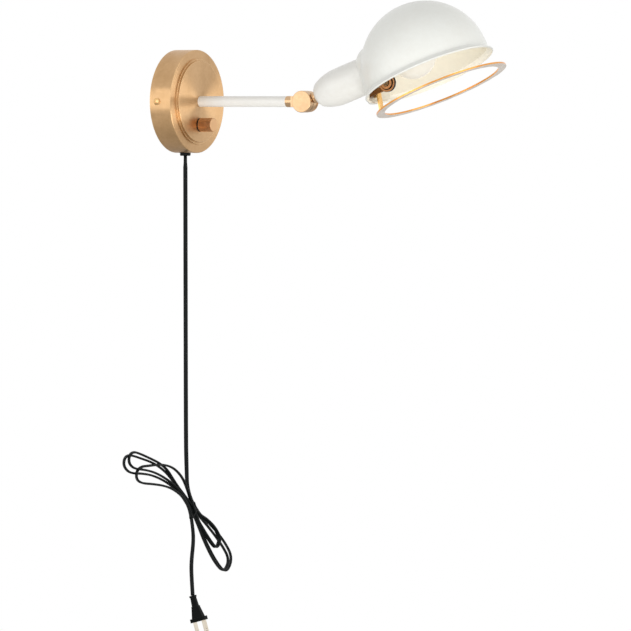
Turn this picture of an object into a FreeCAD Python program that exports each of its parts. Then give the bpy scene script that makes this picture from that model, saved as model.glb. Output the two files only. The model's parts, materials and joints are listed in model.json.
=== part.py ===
import FreeCAD, Part
import math
import os
import re
import Sketcher

# Wall sconce with a tilting dome shade.
# Origin: centre of the round wall plate's back face, on the wall. The wall is the plane Y = 0 and the
# lamp stands out along -Y, +X is to the right seen from the front and +Z is up. Millimetres and degrees.

doc = FreeCAD.newDocument("wall_sconce")

# ---------------------------------------------------------------------------------------------------
# Driving sizes
# ---------------------------------------------------------------------------------------------------

SIZES = {
    # round wall plate
    "plate_diameter": 121, "plate_depth": 28.2, "plate_wall": 1.2, "plate_edge_round": 1.0,
    "tier_one_diameter": 99.6, "tier_one_height": 1.9,
    "tier_two_diameter": 95.4, "tier_two_height": 2.1, "tier_edge_round": 0.6,
    # crossbar on the wall, and the two screws that hold the plate to it
    "bar_height": 22, "bar_thickness": 2, "bar_gap": 0.3, "tab_reach": 16, "tab_width": 12,
    "slot_spacing": 82.6, "slot_length": 14, "slot_width": 5,
    "side_screw_out": 9.8, "side_screw_radius": 1.95, "side_screw_hole_gap": 0.15,
    "side_screw_head_radius": 4.1, "side_screw_head_height": 2.3, "side_screw_tip": 1.5,
    "recess_reach": 1.9, "recess_half_width": 0.5, "recess_depth": 1.3,
    # arm, its threaded nipple, washer and nut
    "arm_radius": 6.3, "arm_bore_radius": 5.05, "nipple_radius": 5.0, "nipple_bore_radius": 3.3,
    "nipple_hole_gap": 0.1, "nipple_in_arm": 12, "nipple_past_nut": 1.5,
    "washer_radius": 8, "washer_thickness": 1.0, "nut_across_flats": 14, "nut_thickness": 3,
    # dimmer and knob
    "knob_drop": 27.4, "dimmer_width": 26, "dimmer_height": 24, "dimmer_depth": 15,
    "dimmer_shoulder": 4, "bushing_radius": 3.5, "bushing_proud": 1.8, "bushing_nut_radius": 5.2,
    "shaft_radius": 3.0, "shaft_gap": 0.05, "shaft_root": 13, "knob_radius": 8.1, "knob_length": 17,
    "knob_lift": 1.1, "knob_recess_radius": 5.8, "knob_recess_depth": 2.9, "knob_cap": 3.0,
    "knob_edge_round": 0.7, "knurl_depth": 0.45, "knurl_width": 0.95, "knurl_crest": 0.2,
    "knob_knurl_count": 44,
    "base_ring_outer": 8.0, "base_ring_inner": 6.5, "base_ring_thickness": 0.9,
    "grub_radius": 1.5, "grub_length": 3.4, "grub_gap": 0.1, "shaft_end_gap": 0.2,
    # cord gland in the lower edge of the plate
    "gland_out": 11.2, "gland_radius": 6.3, "gland_height": 3.4, "gland_neck_radius": 4.4,
    "gland_neck_length": 6, "gland_edge_round": 1.2, "gland_nut_radius": 6.5, "gland_nut_height": 2.5,
    "cord_width": 5.2, "cord_thickness": 2.6, "cord_gap": 0.1, "cord_inside": 8,
    "lead_radius": 1.2, "lead_spread": 1.4, "wire_nut_side": 16, "wire_nut_up": 18,
    "wire_nut_out": 12, "wire_nut_radius": 5, "wire_nut_length": 14, "wire_nut_bore": 3.4,
    "wire_nut_taper": 1.5,
    # knuckle
    "pivot_out": 174.3, "knuckle_radius": 12.6, "knuckle_neck_radius": 6.5, "knuckle_clear": 0.4,
    "collar_length": 11, "spigot_length": 8, "disc_face": 10, "disc_inner": 3, "friction_washer": 0.75,
    "friction_washer_radius": 10, "face_gap": 0.05, "shade_disc_back": 3.5, "stud_radius": 2.5,
    "stud_gap": 0.05, "stud_root": 8, "stud_end": 9.2, "clamp_nut_radius": 12.2, "clamp_nut_face": 10,
    "clamp_knurl_count": 56, "lug_half_height": 6, "lug_in_neck": 1.5, "knuckle_edge_round": 0.8,
    "neck_start": 13, "clamp_nut_cap": 0.6,
    # lamp head: axis of the cup rises by head_tilt from the horizontal
    "head_tilt": 20.8, "cup_start": 17.7, "cup_length": 73.9, "cup_nose_radius": 8.5,
    "cup_shoulder_radius": 16.5, "cup_shoulder_reach": 8.8, "cup_shoulder_round": 13.3,
    "cup_belly_radius": 21.2, "cup_belly_reach": 32.3, "cup_side_round": 60, "cup_belly_round": 900,
    "cup_mouth_radius": 20.8, "cup_wall": 1.4, "cup_floor": 2.4, "cup_waist_step": 0.9,
    "cup_waist_back": 8, "head_nipple_length": 11,
    "lock_nut_flats": 13, "lock_nut_thickness": 3,
    "socket_radius": 16.5, "socket_start": 34, "socket_end": 88, "socket_floor": 58,
    "shell_radius": 14.0, "shell_wall": 0.5, "shell_gap": 0.05, "shell_length": 27,
    "contact_radius": 3.2, "contact_height": 3.8, "socket_ring_inner": 15, "socket_ring_height": 3.2,
    # globe bulb with a 26 mm screw cap
    "bulb_radius": 27.5, "bulb_centre": 150, "bulb_neck_radius": 14, "bulb_neck_fillet": 14,
    "glass_wall": 0.8, "glass_foot_radius": 12.4, "glass_foot_start": 84, "glass_foot_step": 0.5,
    "cap_radius": 13.1,
    "cap_wall": 0.5, "cap_end": 89, "cap_taper_start": 64.5, "cap_taper": 4, "cap_rim_radius": 9,
    "insulator_start": 62.8, "tip_start": 62, "tip_radius": 4.5, "tip_height": 1.0,
    "cap_rim": 0.8, "insulator_recess": 0.4, "insulator_taper": 1.5, "insulator_depth": 1.5,
    # dome shade: rim plane turned down from the cup's axis, sphere centre above the rim
    "rim_ahead": 70.97, "rim_drop": 30.0, "rim_pitch": 3.67, "dome_radius": 73.6,
    "dome_rise": 12.57, "dome_wall": 1.2, "lip_flare": 2.6, "lip_thickness": 1.7,
    "lip_bead": 2.4, "lip_height": 6.2, "lip_flare_round": 9, "lip_bead_round": 1.6,
    "lip_foot_step": 0.4, "lip_crest_step": 0.2, "lip_inner_step": 0.6, "lip_inner_height": 1.5,
    "boss_radius": 34, "boss_back": 47.27, "boss_top": 28, "boss_round": 20, "boss_blend": 10,
    "boss_foot": 0.8, "cup_hole_gap": 0.35,
    # bracket under the cup, with the pivot that carries the ring
    "ring_pivot_reach": 114.5, "ring_pivot_drop": 20.5, "ear_near": 8, "ear_thickness": 2,
    "ear_round": 8, "ear_bottom": 27, "ear_top": 21.2, "foot_start": 84.5, "foot_end": 93.2,
    "foot_right": 6, "thumb_disc_radius": 10.4, "thumb_disc_inner": 7.6, "thumb_disc_near": 10.2,
    "thumb_disc_thickness": 3.4, "thumb_face_step": 1.4, "pivot_screw_radius": 1.5,
    "pivot_screw_head_radius": 3.2, "pivot_screw_head_height": 1.2, "pivot_nut_flats": 5.5,
    "pivot_nut_thickness": 2.4, "screw_past_nut": 0.8, "foot_screw_reach": 88.8, "foot_screw_radius": 1.5,
    "foot_screw_head_radius": 2.7, "foot_screw_head_height": 1.6, "foot_screw_tip": 1.7,
    # strap and trim ring
    "strap_near": 7.7, "strap_width": 8.4, "strap_thickness": 2, "strap_set": 5.1,
    "strap_top_drop": 21.5, "strap_lean": 9.2, "strap_length": 40, "strap_ear_round": 7,
    "strap_ear_low": 27,
    "ring_radius": 78.6, "ring_width": 9.5, "ring_thickness": 1.9, "ring_ahead": 8.13,
    "ring_below": 21.7, "ring_pitch": 2.39, "ring_roll": 1.94,
    # free cord: hank, tie, plug
    "hank_front": 26, "hank_back": 12, "tie_x": 2, "tie_drop": 485, "tie_slope": 40,
    "tie_half_height": 6.5, "tie_width": 4, "tie_band": 1.2,
    "plug_x": -2, "plug_out": 21.5, "plug_drop": 584, "plug_lean": 17,
    "relief_length": 13, "plug_length": 13.8, "flange_height": 4.5, "blade_length": 17.5,
    "blade_root": 4.2, "blade_width": 6.35, "wide_blade_width": 7.9, "blade_thickness": 1.5,
    "blade_spacing": 12.7, "blade_hole_radius": 1.6, "blade_hole_reach": 11.7,
    "collar_half_width": 3.0, "collar_half_depth": 3.9, "collar_corner": 1.4, "collar_height": 2.2,
    "waist_half_width": 2.4, "waist_half_depth": 3.3, "waist_corner": 1.2,
    "second_half_width": 3.6, "second_half_depth": 4.9, "second_corner": 1.8, "second_height": 1.8,
    "grip_half_width": 4.6, "grip_half_depth": 7.5, "grip_corner": 2.2,
    "flange_half_width": 5.6, "flange_half_depth": 10.2, "flange_corner": 3,
    # clearances, and how far a cutting tool runs past what it cuts
    "seat_gap": 0.02, "fit_gap": 0.05, "overrun": 20, "half_space": 200, "half_depth": 60,
}

# Places worked out from the sizes. "out" is the distance from the wall, "reach" runs from the pivot
# along the cup's axis.
PLACES = {
    "plate_radius": "plate_diameter/2",
    "tier_one_radius": "tier_one_diameter/2",
    "tier_two_radius": "tier_two_diameter/2",
    "tier_one_out": "plate_depth + tier_one_height",
    "face_out": "plate_depth + tier_one_height + tier_two_height",
    "face_back": "plate_depth + tier_one_height + tier_two_height - plate_wall",
    "tab_outer": "sqrt((plate_diameter/2 - plate_wall - bar_gap)^2 - (bar_height/2)^2)",
    "nut_out": "plate_depth + tier_one_height + tier_two_height - plate_wall - washer_thickness",
    "knob_back": "plate_depth + tier_one_height + tier_two_height + knob_lift",
    "collar_end": "pivot_out - knuckle_radius - knuckle_clear",
    "arm_end": "pivot_out - knuckle_radius - knuckle_clear - collar_length",
    "cup_end": "cup_start + cup_length",
    "cup_bore_radius": "cup_mouth_radius - cup_wall",
    "fillet_reach": "bulb_centre - sqrt((bulb_radius + bulb_neck_fillet)^2"
                    " - (bulb_neck_radius + bulb_neck_fillet)^2)",
    "gland_drop": "plate_diameter/2 + gland_height",
    "rim_reach": "cup_start + cup_length + rim_ahead",
    "lip_inner_radius": "dome_radius + lip_flare",
    "lip_outer_radius": "dome_radius + lip_flare + lip_thickness",
    "boss_reach": "cup_start + cup_length + rim_ahead - boss_back",
    "ring_reach": "cup_start + cup_length + rim_ahead + ring_ahead",
    "ring_drop": "rim_drop + ring_below",
    "strap_top_reach": "cup_start + cup_length + rim_ahead + ring_ahead - ring_radius + strap_set",
}


def named(expression):
    """Expression with each alias led by the sheet that holds it."""
    def lead(match):
        word = match.group(0)
        if word in SIZES:
            return "Sizes." + word
        if word in PLACES:
            return "Places." + word
        return word
    return re.sub(r"[a-z][a-z_]+", lead, expression)


sizes = doc.addObject("Spreadsheet::Sheet", "Sizes")
for row, (alias, size) in enumerate(SIZES.items(), start=1):
    sizes.set(f"A{row}", alias)
    sizes.set(f"B{row}", str(size))
    sizes.setAlias(f"B{row}", alias)
doc.recompute()
places = doc.addObject("Spreadsheet::Sheet", "Places")
for row, (alias, formula) in enumerate(PLACES.items(), start=1):
    places.set(f"A{row}", alias)
    places.set(f"B{row}", "=" + named(formula))
    places.setAlias(f"B{row}", alias)
doc.recompute()


def number(expression):
    """Present value of an expression in the sheets' aliases."""
    return float(sizes.evalExpression(named(str(expression))))


def bind(item, path, expression):
    """Tie a property to an expression in the sheets' aliases."""
    item.setExpression(path, named(str(expression)))


# ---------------------------------------------------------------------------------------------------
# Frames: wall (x, up, out), head (x, across the cup, along the cup), rim and ring planes (z up)
# ---------------------------------------------------------------------------------------------------

def move(x=0, y=0, z=0, axis=(0, 0, 1), angle=0):
    """Text of a placement: a shift, then a turn about an axis through the shifted point."""
    spin = f"rotation(vector({axis[0]}; {axis[1]}; {axis[2]}); {angle})"
    return f"placement(vector({x}; {y}; {z}); {spin})"


ACROSS = (1, 0, 0)
ALONG_Y = (0, 1, 0)
WORLD = move()
WALL = move(axis=ACROSS, angle=90)
HEAD = move(0, "0 - pivot_out", 0, ACROSS, "90 - head_tilt")
RIM = move(0, "0 - rim_drop", "rim_reach", ACROSS, "0 - 90 - rim_pitch")
RING = move(0, "0 - ring_drop", "ring_reach", ACROSS, "0 - 90 - ring_pitch")
ROLL = move(axis=ALONG_Y, angle="0 - ring_roll")
ON_X = dict(axis=ALONG_Y, angle=90)
ON_Y = dict(axis=ACROSS, angle=-90)

parts = {}
placed = {}


def place(item, *frames):
    """Bind an object's placement to a chain of frames."""
    placed[item.Name] = " * ".join(frames)
    bind(item, "Placement", placed[item.Name])
    return item


def subpart(item, label, *frames):
    """Name a finished piece, move it with the place it has into its frames and keep it for export."""
    item.Label = label
    own = [placed[item.Name]] if item.Name in placed else []
    parts[label] = place(item, *frames, *own)


# ---------------------------------------------------------------------------------------------------
# Sketches and bodies
# ---------------------------------------------------------------------------------------------------

def new_body(name):
    return doc.addObject("PartDesign::Body", name)


def sketch_on(body, role, name, lift=None):
    """Sketch on one of the body's own origin planes, lifted off it by an expression."""
    sketch = body.newObject("Sketcher::SketchObject", name)
    plane = next(face for face in body.Origin.OriginFeatures if face.Role == role)
    sketch.AttachmentSupport = [(plane, "")]
    sketch.MapMode = "FlatFace"
    if lift is not None:
        bind(sketch, "AttachmentOffset.Base.z", lift)
    return sketch


def pin(sketch, kind, element, end, expression):
    """Hold one coordinate of a point at an expression."""
    row = sketch.addConstraint(Sketcher.Constraint(kind, -1, 1, element, end, number(expression)))
    if re.search("[a-z]", str(expression)):
        bind(sketch, f"Constraints[{row}]", expression)


def draw_outline(sketch, corners, arcs=None):
    """Closed outline through the corners. arcs gives, for the side after a corner, its radius and
    which side its centre is on: 1 left, -1 right."""
    arcs = arcs or {}
    points = [FreeCAD.Vector(number(x), number(y), 0) for x, y in corners]
    first = []
    for i, start in enumerate(points):
        end = points[(i + 1) % len(points)]
        if i not in arcs:
            sketch.addGeometry(Part.LineSegment(start, end), False)
            first.append(1)
            continue
        radius, side = number(arcs[i][0]), arcs[i][1]
        chord = end - start
        left = FreeCAD.Vector(-chord.y, chord.x, 0).normalize()
        rise = math.sqrt(max(radius ** 2 - chord.Length ** 2 / 4, 0))
        centre = (start + end) * 0.5 + left * (side * rise)
        low, high = (start, end) if side > 0 else (end, start)
        angles = [math.atan2(p.y - centre.y, p.x - centre.x) for p in (low, high)]
        if angles[1] < angles[0]:
            angles[1] += 2 * math.pi
        circle = Part.Circle(centre, FreeCAD.Vector(0, 0, 1), radius)
        sketch.addGeometry(Part.ArcOfCircle(circle, *angles), False)
        first.append(1 if side > 0 else 2)
    for i in range(len(points)):
        after = (i + 1) % len(points)
        sketch.addConstraint(Sketcher.Constraint("Coincident", i, 3 - first[i], after, first[after]))
    for i, (x, y) in enumerate(corners):
        pin(sketch, "DistanceX", i, first[i], x)
        pin(sketch, "DistanceY", i, first[i], y)
    for i, (radius, _) in arcs.items():
        row = sketch.addConstraint(Sketcher.Constraint("Radius", i, number(radius)))
        if re.search("[a-z]", str(radius)):
            bind(sketch, f"Constraints[{row}]", radius)


def turned(name, corners, arcs=None):
    """Body turned about its Z axis from an outline of (radius, height) corners."""
    body = new_body(name)
    sketch = sketch_on(body, "XZ_Plane", name + "_outline")
    draw_outline(sketch, corners, arcs)
    spin = body.newObject("PartDesign::Revolution", name + "_turning")
    spin.Profile = sketch
    spin.ReferenceAxis = (sketch, ["V_Axis"])
    spin.Angle = 360
    return body


def padded(name, role, corners, start, length, arcs=None):
    """Body padded from an outline on an origin plane, from start on along the plane's normal."""
    body = new_body(name)
    sketch = sketch_on(body, role, name + "_outline", start)
    draw_outline(sketch, corners, arcs)
    pad = body.newObject("PartDesign::Pad", name + "_pad")
    pad.Profile = sketch
    bind(pad, "Length", length)
    return body


def knurl(body, radius, count):
    """Straight V grooves all round a turned body."""
    name = body.Name
    groove = sketch_on(body, "XY_Plane", name + "_groove_outline")
    crest = f"{radius} + knurl_crest"
    draw_outline(groove, [(f"{radius} - knurl_depth", "0"), (crest, "0 - knurl_width/2"),
                          (crest, "knurl_width/2")])
    pocket = body.newObject("PartDesign::Pocket", name + "_groove")
    pocket.Profile = groove
    pocket.Type = 1
    pocket.Reversed = True
    doc.recompute()
    pattern = body.newObject("PartDesign::PolarPattern", name + "_knurl")
    pattern.Originals = [pocket]
    pattern.Axis = (groove, ["N_Axis"])
    pattern.Angle = 360
    bind(pattern, "Occurrences", count)
    body.Tip = pattern
    return body


def rounded_rectangle(half_x, half_y, corner):
    """Corners and arcs of a rectangle with round corners, for draw_outline."""
    corners = []
    for sx, sy, flip in ((1, -1, False), (1, 1, True), (-1, 1, False), (-1, -1, True)):
        on_x = (f"{sx}*({half_x} - {corner})", f"{sy}*({half_y})")
        on_y = (f"{sx}*({half_x})", f"{sy}*({half_y} - {corner})")
        corners += [on_y, on_x] if flip else [on_x, on_y]
    return corners, {0: (corner, 1), 2: (corner, 1), 4: (corner, 1), 6: (corner, 1)}


def lofted(name, sections):
    """Body lofted through rounded rectangles: (height, half width, half depth, corner radius)."""
    body = new_body(name)
    sketches = []
    for i, (height, half_x, half_y, corner) in enumerate(sections):
        sketch = sketch_on(body, "XY_Plane", f"{name}_section_{i}", height)
        draw_outline(sketch, *rounded_rectangle(half_x, half_y, corner))
        sketches.append(sketch)
    loft = body.newObject("PartDesign::AdditiveLoft", name + "_loft")
    loft.Profile = sketches[0]
    loft.Sections = sketches[1:]
    loft.Ruled = True
    return body


# ---------------------------------------------------------------------------------------------------
# Primitives and booleans
# ---------------------------------------------------------------------------------------------------

def cylinder(name, radius, start, end, along="z", at=("0", "0")):
    """Cylinder from start to end along a local axis; at gives its two other coordinates."""
    item = doc.addObject("Part::Cylinder", name)
    bind(item, "Radius", radius)
    bind(item, "Height", f"({end}) - ({start})")
    if along == "x":
        return place(item, move(start, at[0], at[1], **ON_X))
    if along == "y":
        return place(item, move(at[0], start, at[1], **ON_Y))
    return place(item, move(at[0], at[1], start))


def box(name, xs, ys, zs):
    """Box between two expressions along each local axis."""
    item = doc.addObject("Part::Box", name)
    for side, (low, high) in zip(("Length", "Width", "Height"), (xs, ys, zs)):
        bind(item, side, f"({high}) - ({low})")
    return place(item, move(xs[0], ys[0], zs[0]))


def hexagon(name, across_flats, start, end):
    """Hexagonal prism from start to end along local Z."""
    item = doc.addObject("Part::Prism", name)
    item.Polygon = 6
    bind(item, "Circumradius", f"({across_flats})/2/cos(30)")
    bind(item, "Height", f"({end}) - ({start})")
    return place(item, move(0, 0, start))


def fuse(name, *pieces):
    item = doc.addObject("Part::MultiFuse", name)
    item.Shapes = list(pieces)
    return item


def cut(name, base, *tools):
    item = doc.addObject("Part::Cut", name)
    item.Base = base
    item.Tool = tools[0] if len(tools) == 1 else fuse(name + "_tools", *tools)
    return item


def group(name, *pieces):
    """Several separate solids in one piece."""
    item = doc.addObject("Part::Compound", name)
    item.Links = list(pieces)
    return item


# ---------------------------------------------------------------------------------------------------
# Cords and leads: straight runs joined by tangent arcs
# ---------------------------------------------------------------------------------------------------

ARC_SHARE = 0.45


def rounded_path(points):
    """Wire through straight runs and tangent arcs, with the arcs' radii."""
    points = [FreeCAD.Vector(*point) for point in points]
    edges, radii = [], []
    last = points[0]
    for before, corner, after in zip(points, points[1:], points[2:]):
        come, leave = corner - before, after - corner
        half_turn = come.getAngle(leave) / 2
        reach = ARC_SHARE * min(come.Length, leave.Length)
        radius = reach / math.tan(half_turn)
        come.normalize()
        leave.normalize()
        start, end = corner - come * reach, corner + leave * reach
        inward = (leave - come).normalize()
        middle = corner + inward * (radius / math.cos(half_turn) - radius)
        edges.append(Part.LineSegment(last, start).toShape())
        edges.append(Part.Arc(start, middle, end).toShape())
        radii.append(radius)
        last = end
    edges.append(Part.LineSegment(last, points[-1]).toShape())
    return Part.Wire(edges), radii


def round_section(path, radius):
    edge = path.Edges[0]
    circle = Part.Circle(edge.valueAt(edge.FirstParameter), edge.tangentAt(edge.FirstParameter), radius)
    return Part.Wire([circle.toShape()])


def flat_section(path, wide, width, thickness):
    """Outline of a flat twin cord, its wide side along the direction wide."""
    edge = path.Edges[0]
    centre, along = edge.valueAt(edge.FirstParameter), edge.tangentAt(edge.FirstParameter)
    side = (wide - along * wide.dot(along)).normalize()
    thin = along.cross(side).normalize()
    shift, lift = side * ((width - thickness) / 2), thin * (thickness / 2)
    end = side * (width / 2)
    return Part.Wire([
        Part.LineSegment(centre - shift + lift, centre + shift + lift).toShape(),
        Part.Arc(centre + shift + lift, centre + end, centre + shift - lift).toShape(),
        Part.LineSegment(centre + shift - lift, centre - shift - lift).toShape(),
        Part.Arc(centre - shift - lift, centre - end, centre - shift + lift).toShape()])


def swept(path, section, label, radii):
    """Solid swept along a path; prints how its volume compares and its tightest bend."""
    shape = path.makePipeShell([section], True, False)
    area = Part.Face(section).Area
    print(f"{label}: length {path.Length:.1f}, volume / (area x length) "
          f"{shape.Volume / (area * path.Length):.4f}, radii {[round(r, 1) for r in radii]}")
    return shape


def feature(label, shape, *frames):
    """Piece whose shape is made directly, placed like the others."""
    item = doc.addObject("Part::Feature", label)
    item.Shape = shape
    return subpart(item, label, *frames)


# ---------------------------------------------------------------------------------------------------
# Wall plate and what is behind it
# ---------------------------------------------------------------------------------------------------

def make_canopy():
    """Spun round plate with two shallow tiers, open towards the wall."""
    shell = turned("canopy_shell", [
        ("plate_radius", "0"),
        ("plate_radius", "plate_depth - plate_edge_round"),
        ("plate_radius - plate_edge_round", "plate_depth"),
        ("tier_one_radius", "plate_depth"),
        ("tier_one_radius", "tier_one_out"),
        ("tier_two_radius", "tier_one_out"),
        ("tier_two_radius", "face_out - tier_edge_round"),
        ("tier_two_radius - tier_edge_round", "face_out"),
        ("nipple_radius + nipple_hole_gap", "face_out"),
        ("nipple_radius + nipple_hole_gap", "face_back"),
        ("tier_two_radius - plate_wall", "face_back"),
        ("tier_two_radius - plate_wall", "tier_one_out - plate_wall"),
        ("tier_one_radius - plate_wall", "tier_one_out - plate_wall"),
        ("tier_one_radius - plate_wall", "plate_depth - plate_wall"),
        ("plate_radius - plate_wall", "plate_depth - plate_wall"),
        ("plate_radius - plate_wall", "0"),
    ], {1: ("plate_edge_round", 1), 6: ("tier_edge_round", 1)})
    knob_hole = cylinder("canopy_knob_hole", "bushing_radius + nipple_hole_gap",
                         "face_back - 5", "face_out + 5", at=("0", "0 - knob_drop"))
    side_holes = cylinder("canopy_side_holes", "side_screw_radius + side_screw_hole_gap",
                          "0 - plate_radius - 5", "plate_radius + 5", "x", ("0", "side_screw_out"))
    gland_hole = cylinder("canopy_gland_hole", "gland_neck_radius + nipple_hole_gap",
                          "0 - plate_radius - overrun", "overrun - plate_radius", "y", ("0", "gland_out"))
    canopy = cut("canopy_cut", shell, knob_hole, side_holes, gland_hole)
    subpart(canopy, "canopy", WALL)


def slot(name, centre):
    """Slot through the crossbar, running along X."""
    half = "(slot_length - slot_width)/2"
    depth = ("0 - 1", "bar_thickness + 1")
    middle = box(name + "_middle", (f"{centre} - {half}", f"{centre} + {half}"),
                 ("0 - slot_width/2", "slot_width/2"), depth)
    ends = [cylinder(f"{name}_end_{i}", "slot_width/2", *depth, at=(f"{centre} {sign} {half}", "0"))
            for i, sign in enumerate("+-")]
    return [middle] + ends


def make_crossbar():
    """Flat bar on the wall, with two slots and two bent tabs for the side screws."""
    bar = box("crossbar_bar", ("0 - tab_outer", "tab_outer"), ("0 - bar_height/2", "bar_height/2"),
              ("0", "bar_thickness"))
    tabs = []
    for name, low, high in (("crossbar_tab_left", "0 - tab_outer", "bar_thickness - tab_outer"),
                            ("crossbar_tab_right", "tab_outer - bar_thickness", "tab_outer")):
        tabs.append(box(name, (low, high), ("0 - tab_width/2", "tab_width/2"), ("0", "tab_reach")))
    blank = fuse("crossbar_blank", bar, *tabs)
    threads = cylinder("crossbar_threads", "side_screw_radius + stud_gap", "0 - tab_outer - 5",
                       "tab_outer + 5", "x", ("0", "side_screw_out"))
    slots = slot("slot_left", "0 - slot_spacing/2") + slot("slot_right", "slot_spacing/2")
    subpart(cut("crossbar_cut", blank, threads, *slots), "wall_crossbar", WALL)


def make_side_screws():
    """Two domed screws that hold the plate to the crossbar's tabs."""
    screws = []
    for name, side in (("side_screw_left", -90), ("side_screw_right", 90)):
        screw = turned(name, [
            ("0", "tab_outer - bar_thickness - side_screw_tip"),
            ("side_screw_radius", "tab_outer - bar_thickness - side_screw_tip"),
            ("side_screw_radius", "plate_radius"),
            ("side_screw_head_radius", "plate_radius"),
            ("side_screw_head_radius", "plate_radius + side_screw_head_height/2"),
            ("0", "plate_radius + side_screw_head_height"),
        ], {4: ("(side_screw_head_radius^2 + (side_screw_head_height/2)^2)/side_screw_head_height", 1)})
        top = "plate_radius + side_screw_head_height"
        reach, thin = (("0 - " + size, size) for size in ("recess_reach", "recess_half_width"))
        depth = (f"{top} - recess_depth", f"{top} + overrun")
        recess = [box(f"{name}_recess_tall", thin, reach, depth),
                  box(f"{name}_recess_wide", reach, thin, depth)]
        screws.append(place(cut(f"{name}_cut", screw, *recess),
                            move(0, 0, "side_screw_out", ALONG_Y, side)))
    subpart(group("side_screw_pair", *screws), "canopy_side_screws", WALL)


def make_arm():
    """Straight tube on the plate's face, with the nipple, washer and nut that hold it."""
    tube = turned("arm_turned", [("arm_bore_radius", "face_out"), ("arm_radius", "face_out"),
                                 ("arm_radius", "arm_end"), ("arm_bore_radius", "arm_end")])
    subpart(tube, "arm_tube", WALL)
    low = "nut_out - nut_thickness - nipple_past_nut"
    high = "face_out + nipple_in_arm"
    nipple = turned("nipple_turned", [("nipple_bore_radius", low), ("nipple_radius", low),
                                      ("nipple_radius", high), ("nipple_bore_radius", high)])
    subpart(nipple, "arm_nipple", WALL)
    hole = "nipple_radius + nipple_hole_gap/2"
    washer = turned("washer_turned", [(hole, "nut_out"), ("washer_radius", "nut_out"),
                                      ("washer_radius", "face_back"), (hole, "face_back")])
    subpart(washer, "arm_lock_washer", WALL)
    blank = hexagon("arm_nut_blank", "nut_across_flats", "nut_out - nut_thickness", "nut_out")
    bore = cylinder("arm_nut_bore", hole, "nut_out - nut_thickness - 1", "nut_out + 1")
    subpart(cut("arm_nut_cut", blank, bore), "arm_hex_nut", WALL)


def make_dimmer():
    """Rotary dimmer behind the plate: case and threaded bushing, nut, shaft, ring, knob, grub screw."""
    front = "face_back - dimmer_shoulder"
    down = "0 - knob_drop"
    axis = move(0, down)
    case = box("dimmer_case", ("0 - dimmer_width/2", "dimmer_width/2"),
               ("0 - dimmer_height/2", "dimmer_height/2"), (f"{front} - dimmer_depth", front))
    bushing = cylinder("dimmer_bushing", "bushing_radius", f"{front} - 1", "face_out + bushing_proud")
    bore = cylinder("dimmer_bore", "shaft_radius + shaft_gap", "shaft_root", "face_out + overrun")
    case_and_bushing = fuse("dimmer_case_and_bushing", case, bushing)
    subpart(cut("dimmer_cut", case_and_bushing, bore), "dimmer_body", WALL, axis)

    nut_hole = "bushing_radius + nipple_hole_gap/2"
    nut = turned("bushing_nut_turned", [
        (nut_hole, "face_out"), ("bushing_nut_radius", "face_out"),
        ("bushing_nut_radius", "face_out + bushing_proud"), (nut_hole, "face_out + bushing_proud")])
    subpart(nut, "dimmer_bushing_nut", WALL, axis)

    ring_top = "face_out + base_ring_thickness"
    ring = turned("base_ring_turned", [
        ("base_ring_inner", "face_out"), ("base_ring_outer", "face_out"),
        ("base_ring_outer", ring_top), ("base_ring_inner", ring_top)])
    subpart(ring, "knob_base_ring", WALL, axis)

    shaft_top = "knob_back + knob_length - knob_cap - shaft_end_gap"
    shaft = turned("shaft_turned", [
        ("0", "shaft_root + shaft_end_gap"), ("shaft_radius", "shaft_root + shaft_end_gap"),
        ("shaft_radius", shaft_top), ("0", shaft_top)])
    subpart(shaft, "dimmer_shaft", WALL, axis)

    bore_radius = "shaft_radius + seat_gap"
    recess = "knob_recess_depth"
    knob = turned("knob_turned", [
        ("0", "knob_length - knob_cap"), (bore_radius, "knob_length - knob_cap"),
        (bore_radius, recess), ("knob_recess_radius", recess), ("knob_recess_radius", "0"),
        ("knob_radius", "0"), ("knob_radius", "knob_length - knob_edge_round"),
        ("knob_radius - knob_edge_round", "knob_length"), ("0", "knob_length")],
        {6: ("knob_edge_round", 1)})
    knurl(knob, "knob_radius", "knob_knurl_count")
    grub_height = "(knob_length + knob_recess_depth)/2 - knob_cap/2"
    grub_bore = cylinder("knob_grub_bore", "grub_radius + seat_gap", "0 - knob_radius - 1", "0", "y",
                         ("0", grub_height))
    subpart(cut("knob_cut", knob, grub_bore), "dimmer_knob", WALL, move(0, down, "knob_back"))
    grub_top = "0 - shaft_radius - grub_gap"
    grub = cylinder("grub_screw", "grub_radius", f"{grub_top} - grub_length", grub_top, "y",
                    ("0", grub_height))
    subpart(grub, "knob_set_screw", WALL, move(0, down, "knob_back"))


def make_gland():
    """Bush in the plate's lower edge that the flat cord comes out of, with its nut inside."""
    low = "0 - gland_height"
    bush = turned("gland_turned", [
        ("0", low), ("gland_radius - gland_edge_round", low), ("gland_radius", f"{low} + gland_edge_round"),
        ("gland_radius", "0"), ("gland_neck_radius", "0"), ("gland_neck_radius", "gland_neck_length"),
        ("0", "gland_neck_length")], {1: ("gland_edge_round", 1)})
    slot_x = "(cord_width/2 + cord_gap)"
    slot_y = "(cord_thickness/2 + cord_gap)"
    passage = box("gland_slot", (f"0 - {slot_x}", slot_x), (f"0 - {slot_y}", slot_y),
                  (f"{low} - 1", "gland_neck_length + 1"))
    at_edge = move(0, "0 - gland_out", "0 - plate_radius")
    subpart(cut("gland_cut", bush, passage), "cord_gland", at_edge)

    seat = "plate_radius - sqrt((plate_radius - plate_wall)^2 - gland_nut_radius^2)"
    hole = "gland_neck_radius + nipple_hole_gap/2"
    nut = turned("gland_nut_turned", [
        (hole, seat), ("gland_nut_radius", seat), ("gland_nut_radius", f"{seat} + gland_nut_height"),
        (hole, f"{seat} + gland_nut_height")])
    subpart(nut, "gland_nut", at_edge)


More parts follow.
